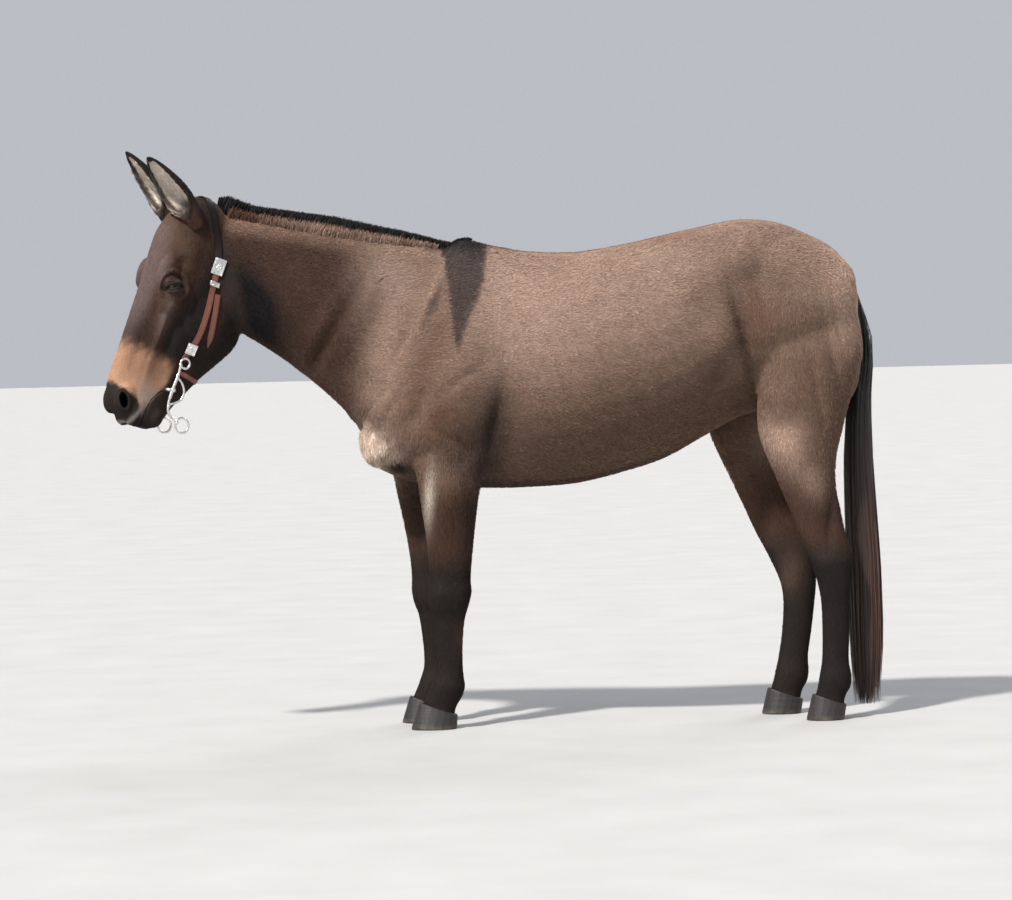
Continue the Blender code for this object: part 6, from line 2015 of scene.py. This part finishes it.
def horn_finish():
    """Dull black horn with growth rings, fine upright grain and dry mud low down."""
    made = Finish("hoof_horn_worn", 0.5)
    rings = made.noise(1.0, 3.0, 0.6, made.stretched(6.0, 6.0, 230.0))
    grain = made.noise(1.0, 4.0, 0.6, made.stretched(300.0, 300.0, 14.0))
    mud = made.noise(38.0, 5.0, 0.7)
    dark = made.mixed(rings, (0.008, 0.007, 0.007), (0.030, 0.026, 0.024))
    dark = made.shade(dark, 0.7 + 0.6 * grain)
    low = made.smooth(made.parts()[2], 0.022, 0.0) * made.smooth(mud, 0.35, 0.65)
    made.feed("Base Color", made.mixed(low * 0.7, dark, (0.110, 0.085, 0.060)))
    made.feed("Roughness", 0.42 + 0.3 * grain)
    made.bump(rings * 0.7 + grain * 0.3, 0.0016, 0.6)
    return made


def strap_finish(key, tint, shine):
    """Oiled leather with grain and wear, in one tint."""
    made = Finish(f"{key}_strap", 0.45, Specular_IOR_Level=shine)
    grain = made.noise(700.0, 4.0, 0.65)
    wear = made.noise(60.0, 4.0, 0.6)
    colour = made.shade(made.painted(), 0.62 + 0.35 * grain + 0.40 * wear)
    made.feed("Base Color", made.mixed(1.0, colour, tint, "MULTIPLY"))
    made.feed("Roughness", 0.32 + 0.30 * grain)
    made.bump(grain, 0.0007, 0.6)
    return made


def steel_finish():
    """Polished metal with scratches and tarnish."""
    made = Finish("polished_silver", 0.22, 1.0)
    scratch = made.noise(1.0, 3.0, 0.6, made.stretched(900.0, 260.0, 500.0))
    tarnish = made.noise(140.0, 4.0, 0.6)
    dull = made.smooth(tarnish, 0.52, 0.70)
    made.feed("Base Color", made.mixed(dull, (0.83, 0.82, 0.80), (0.42, 0.39, 0.36)))
    made.feed("Roughness", 0.14 + 0.20 * scratch + 0.10 * tarnish)
    made.bump(scratch, 0.0003, 0.4)
    return made


def floor_finish():
    """A pale floor."""
    made = Finish("pale_floor", 0.8)
    speck = made.noise(3.0, 3.0, 0.5)
    made.feed("Base Color", made.ramp(speck, ((0.3, (0.46, 0.455, 0.445)), (0.7, (0.50, 0.495, 0.485)))))
    return made


def make_finishes():
    """All materials."""
    return {
        "skin": hide_finish(),
        "coat": coat_finish(),
        "hair": hair_finish(),
        "eye": eye_finish(),
        "lids": lid_finish(),
        "horn": horn_finish(),
        "leather": strap_finish("leather", (1.0, 1.0, 1.0), 0.45),
        "black": strap_finish("black", (0.065, 0.13, 0.19), 0.15),
        "steel": steel_finish(),
        "floor": floor_finish(),
    }


def add_lamp(name, kind, place, way, energy, colour, **settings):
    """A soft lamp in a place, which shines one way."""
    lamp = bpy.data.lights.new(name, kind)
    lamp.energy, lamp.color = energy, colour
    for key, value in settings.items():
        setattr(lamp, key, value)
    holder = add_object(name, lamp)
    holder.location = place
    holder.rotation_mode = "QUATERNION"
    holder.rotation_quaternion = way.to_track_quat("-Z", "Y")


def add_stage(finish):
    """Pale floor, soft studio light and the camera."""
    bm = bmesh.new()
    bmesh.ops.create_grid(bm, x_segments=1, y_segments=1, size=FLOOR_SIZE)
    floor = add_object("floor", mesh_from(bm, "floor"))
    if floor.data.polygons[0].normal.z < 0:
        floor.data.flip_normals()
    floor.data.materials.append(finish.material)
    floor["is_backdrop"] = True
    world = bpy.data.worlds.new("studio")
    world.use_nodes = True
    background = world.node_tree.nodes["Background"]
    background.inputs["Color"].default_value = (0.90, 0.93, 1.0, 1.0)
    background.inputs["Strength"].default_value = 0.55
    bpy.context.scene.world = world
    for name, way, strength, wide, colour in SUNS:
        add_lamp(name, "SUN", Vector(way) * 5, -Vector(way), strength, colour, angle=math.radians(wide))
    way = FILL_AIM - FILL_PLACE
    add_lamp("fill", "AREA", FILL_PLACE, way, 60.0, (0.95, 0.97, 1.0), shape="DISK", size=4.0)
    camera = bpy.data.cameras.new("camera")
    camera.sensor_width = SENSOR
    camera.lens = SENSOR * (-CAMERA_PLACE[1] / PIXEL) / PHOTO_WIDTH
    camera.clip_end = 100.0
    holder = add_object("camera", camera)
    holder.location = CAMERA_PLACE
    aim = (CAMERA_AIM - holder.location).normalized()
    holder.rotation_mode = "QUATERNION"
    holder.rotation_quaternion = Quaternion(aim, CAMERA_ROLL) @ aim.to_track_quat("-Z", "Y")
    bpy.context.scene.camera = holder
    bpy.context.scene.view_settings.view_transform = "Standard"


def kept_skin(points, normals, corners):
    """The skin without what the patches replace, and without loose points."""
    near = numpy.minimum.reduce([
        patch_reach(points, kind, side) for kind in PATCH_TUFTS for _, side in SIDES
    ])
    corners = corners[near[corners].max(axis=1) > 0.88]
    used, index = numpy.unique(corners, return_inverse=True)
    return points[used], normals[used], index.reshape(-1, 3)


def main():
    cad_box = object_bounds()
    finish = make_finishes()
    draw = numpy.random.default_rng(11)
    flesh = skin_form()
    tree = skin_tree(flesh)
    cut(flesh, mouth_cutter(tree))
    inset(largest_only(flesh))
    body = kept_skin(*arrays(flesh.data))
    bpy.data.objects.remove(flesh, do_unlink=True)
    points, _, corners = body
    # Each form of the skin: kind, name, points, triangles, places and tones
    forms = [("skin", "body", points, corners, points, markings(points))]
    ears = []
    for name, side in SIDES:
        ear = ear_skin(side)
        ears.append((side, name, *arrays(ear.data)))
        bpy.data.objects.remove(ear, do_unlink=True)
        points, normals, corners = ears[-1][2:]
        forms.append(("ear", name, points, corners, points, ear_tones(points, normals, side)[0]))
    for kind, colour_of in (("eye", eye_tones), ("nostril", nostril_tones)):
        for name, side in SIDES:
            points, corners, local = form_patch(tree, kind, side)
            forms.append((kind, name, points, corners, local, colour_of(points, local)))
    starts = numpy.cumsum([0] + [len(form[2]) for form in forms])
    skin = add_mesh(
        "skin",
        numpy.concatenate([form[2] for form in forms]),
        numpy.concatenate([form[3] + start for form, start in zip(forms, starts)]),
        numpy.concatenate([form[5] for form in forms]),
    )
    spots = unwrapped(skin).reshape(-1, 3, 2)
    counts = numpy.cumsum([0] + [len(form[3]) for form in forms])
    flesh_nodes = ["head", "neck", "torso"]
    flesh_nodes += [f"{name}_{limb}" for name, _ in SIDES for limb in ("ear", "front_leg", "hind_leg")]
    dressed(skin, finish["skin"], "coat", *flesh_nodes)
    add_coat(*body, spots[:counts[1]], finish["coat"], draw)
    for ear, start, end in zip(ears, counts[1:], counts[2:]):
        add_ear_hair(*ear, spots[start:end], finish["coat"], draw)
    add_patch_hair(forms[3:], spots[counts[3]:], finish["coat"], draw)
    for name, side in SIDES:
        add_lid_rims(name, side, finish["lids"])
        add_lashes(name, side, finish["hair"], draw)
        add_eye_ball(name, side, finish["eye"])
    add_mane(tree, finish["hair"], draw)
    add_tail_hair(finish["hair"], draw)
    add_bridle(tree, finish)
    for end in ("front", "hind"):
        for name, _ in SIDES:
            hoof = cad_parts[f"{name}_{end}_hoof"]
            hoof.data.materials.clear()
            hoof.data.materials.append(finish["horn"].material)
            smooth_by_angle(hoof)
    add_stage(finish["floor"])
    boxes = {"cad": cad_box, "visual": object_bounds()}
    {key: [list(corner) for corner in box] for key, box in boxes.items()}


main()
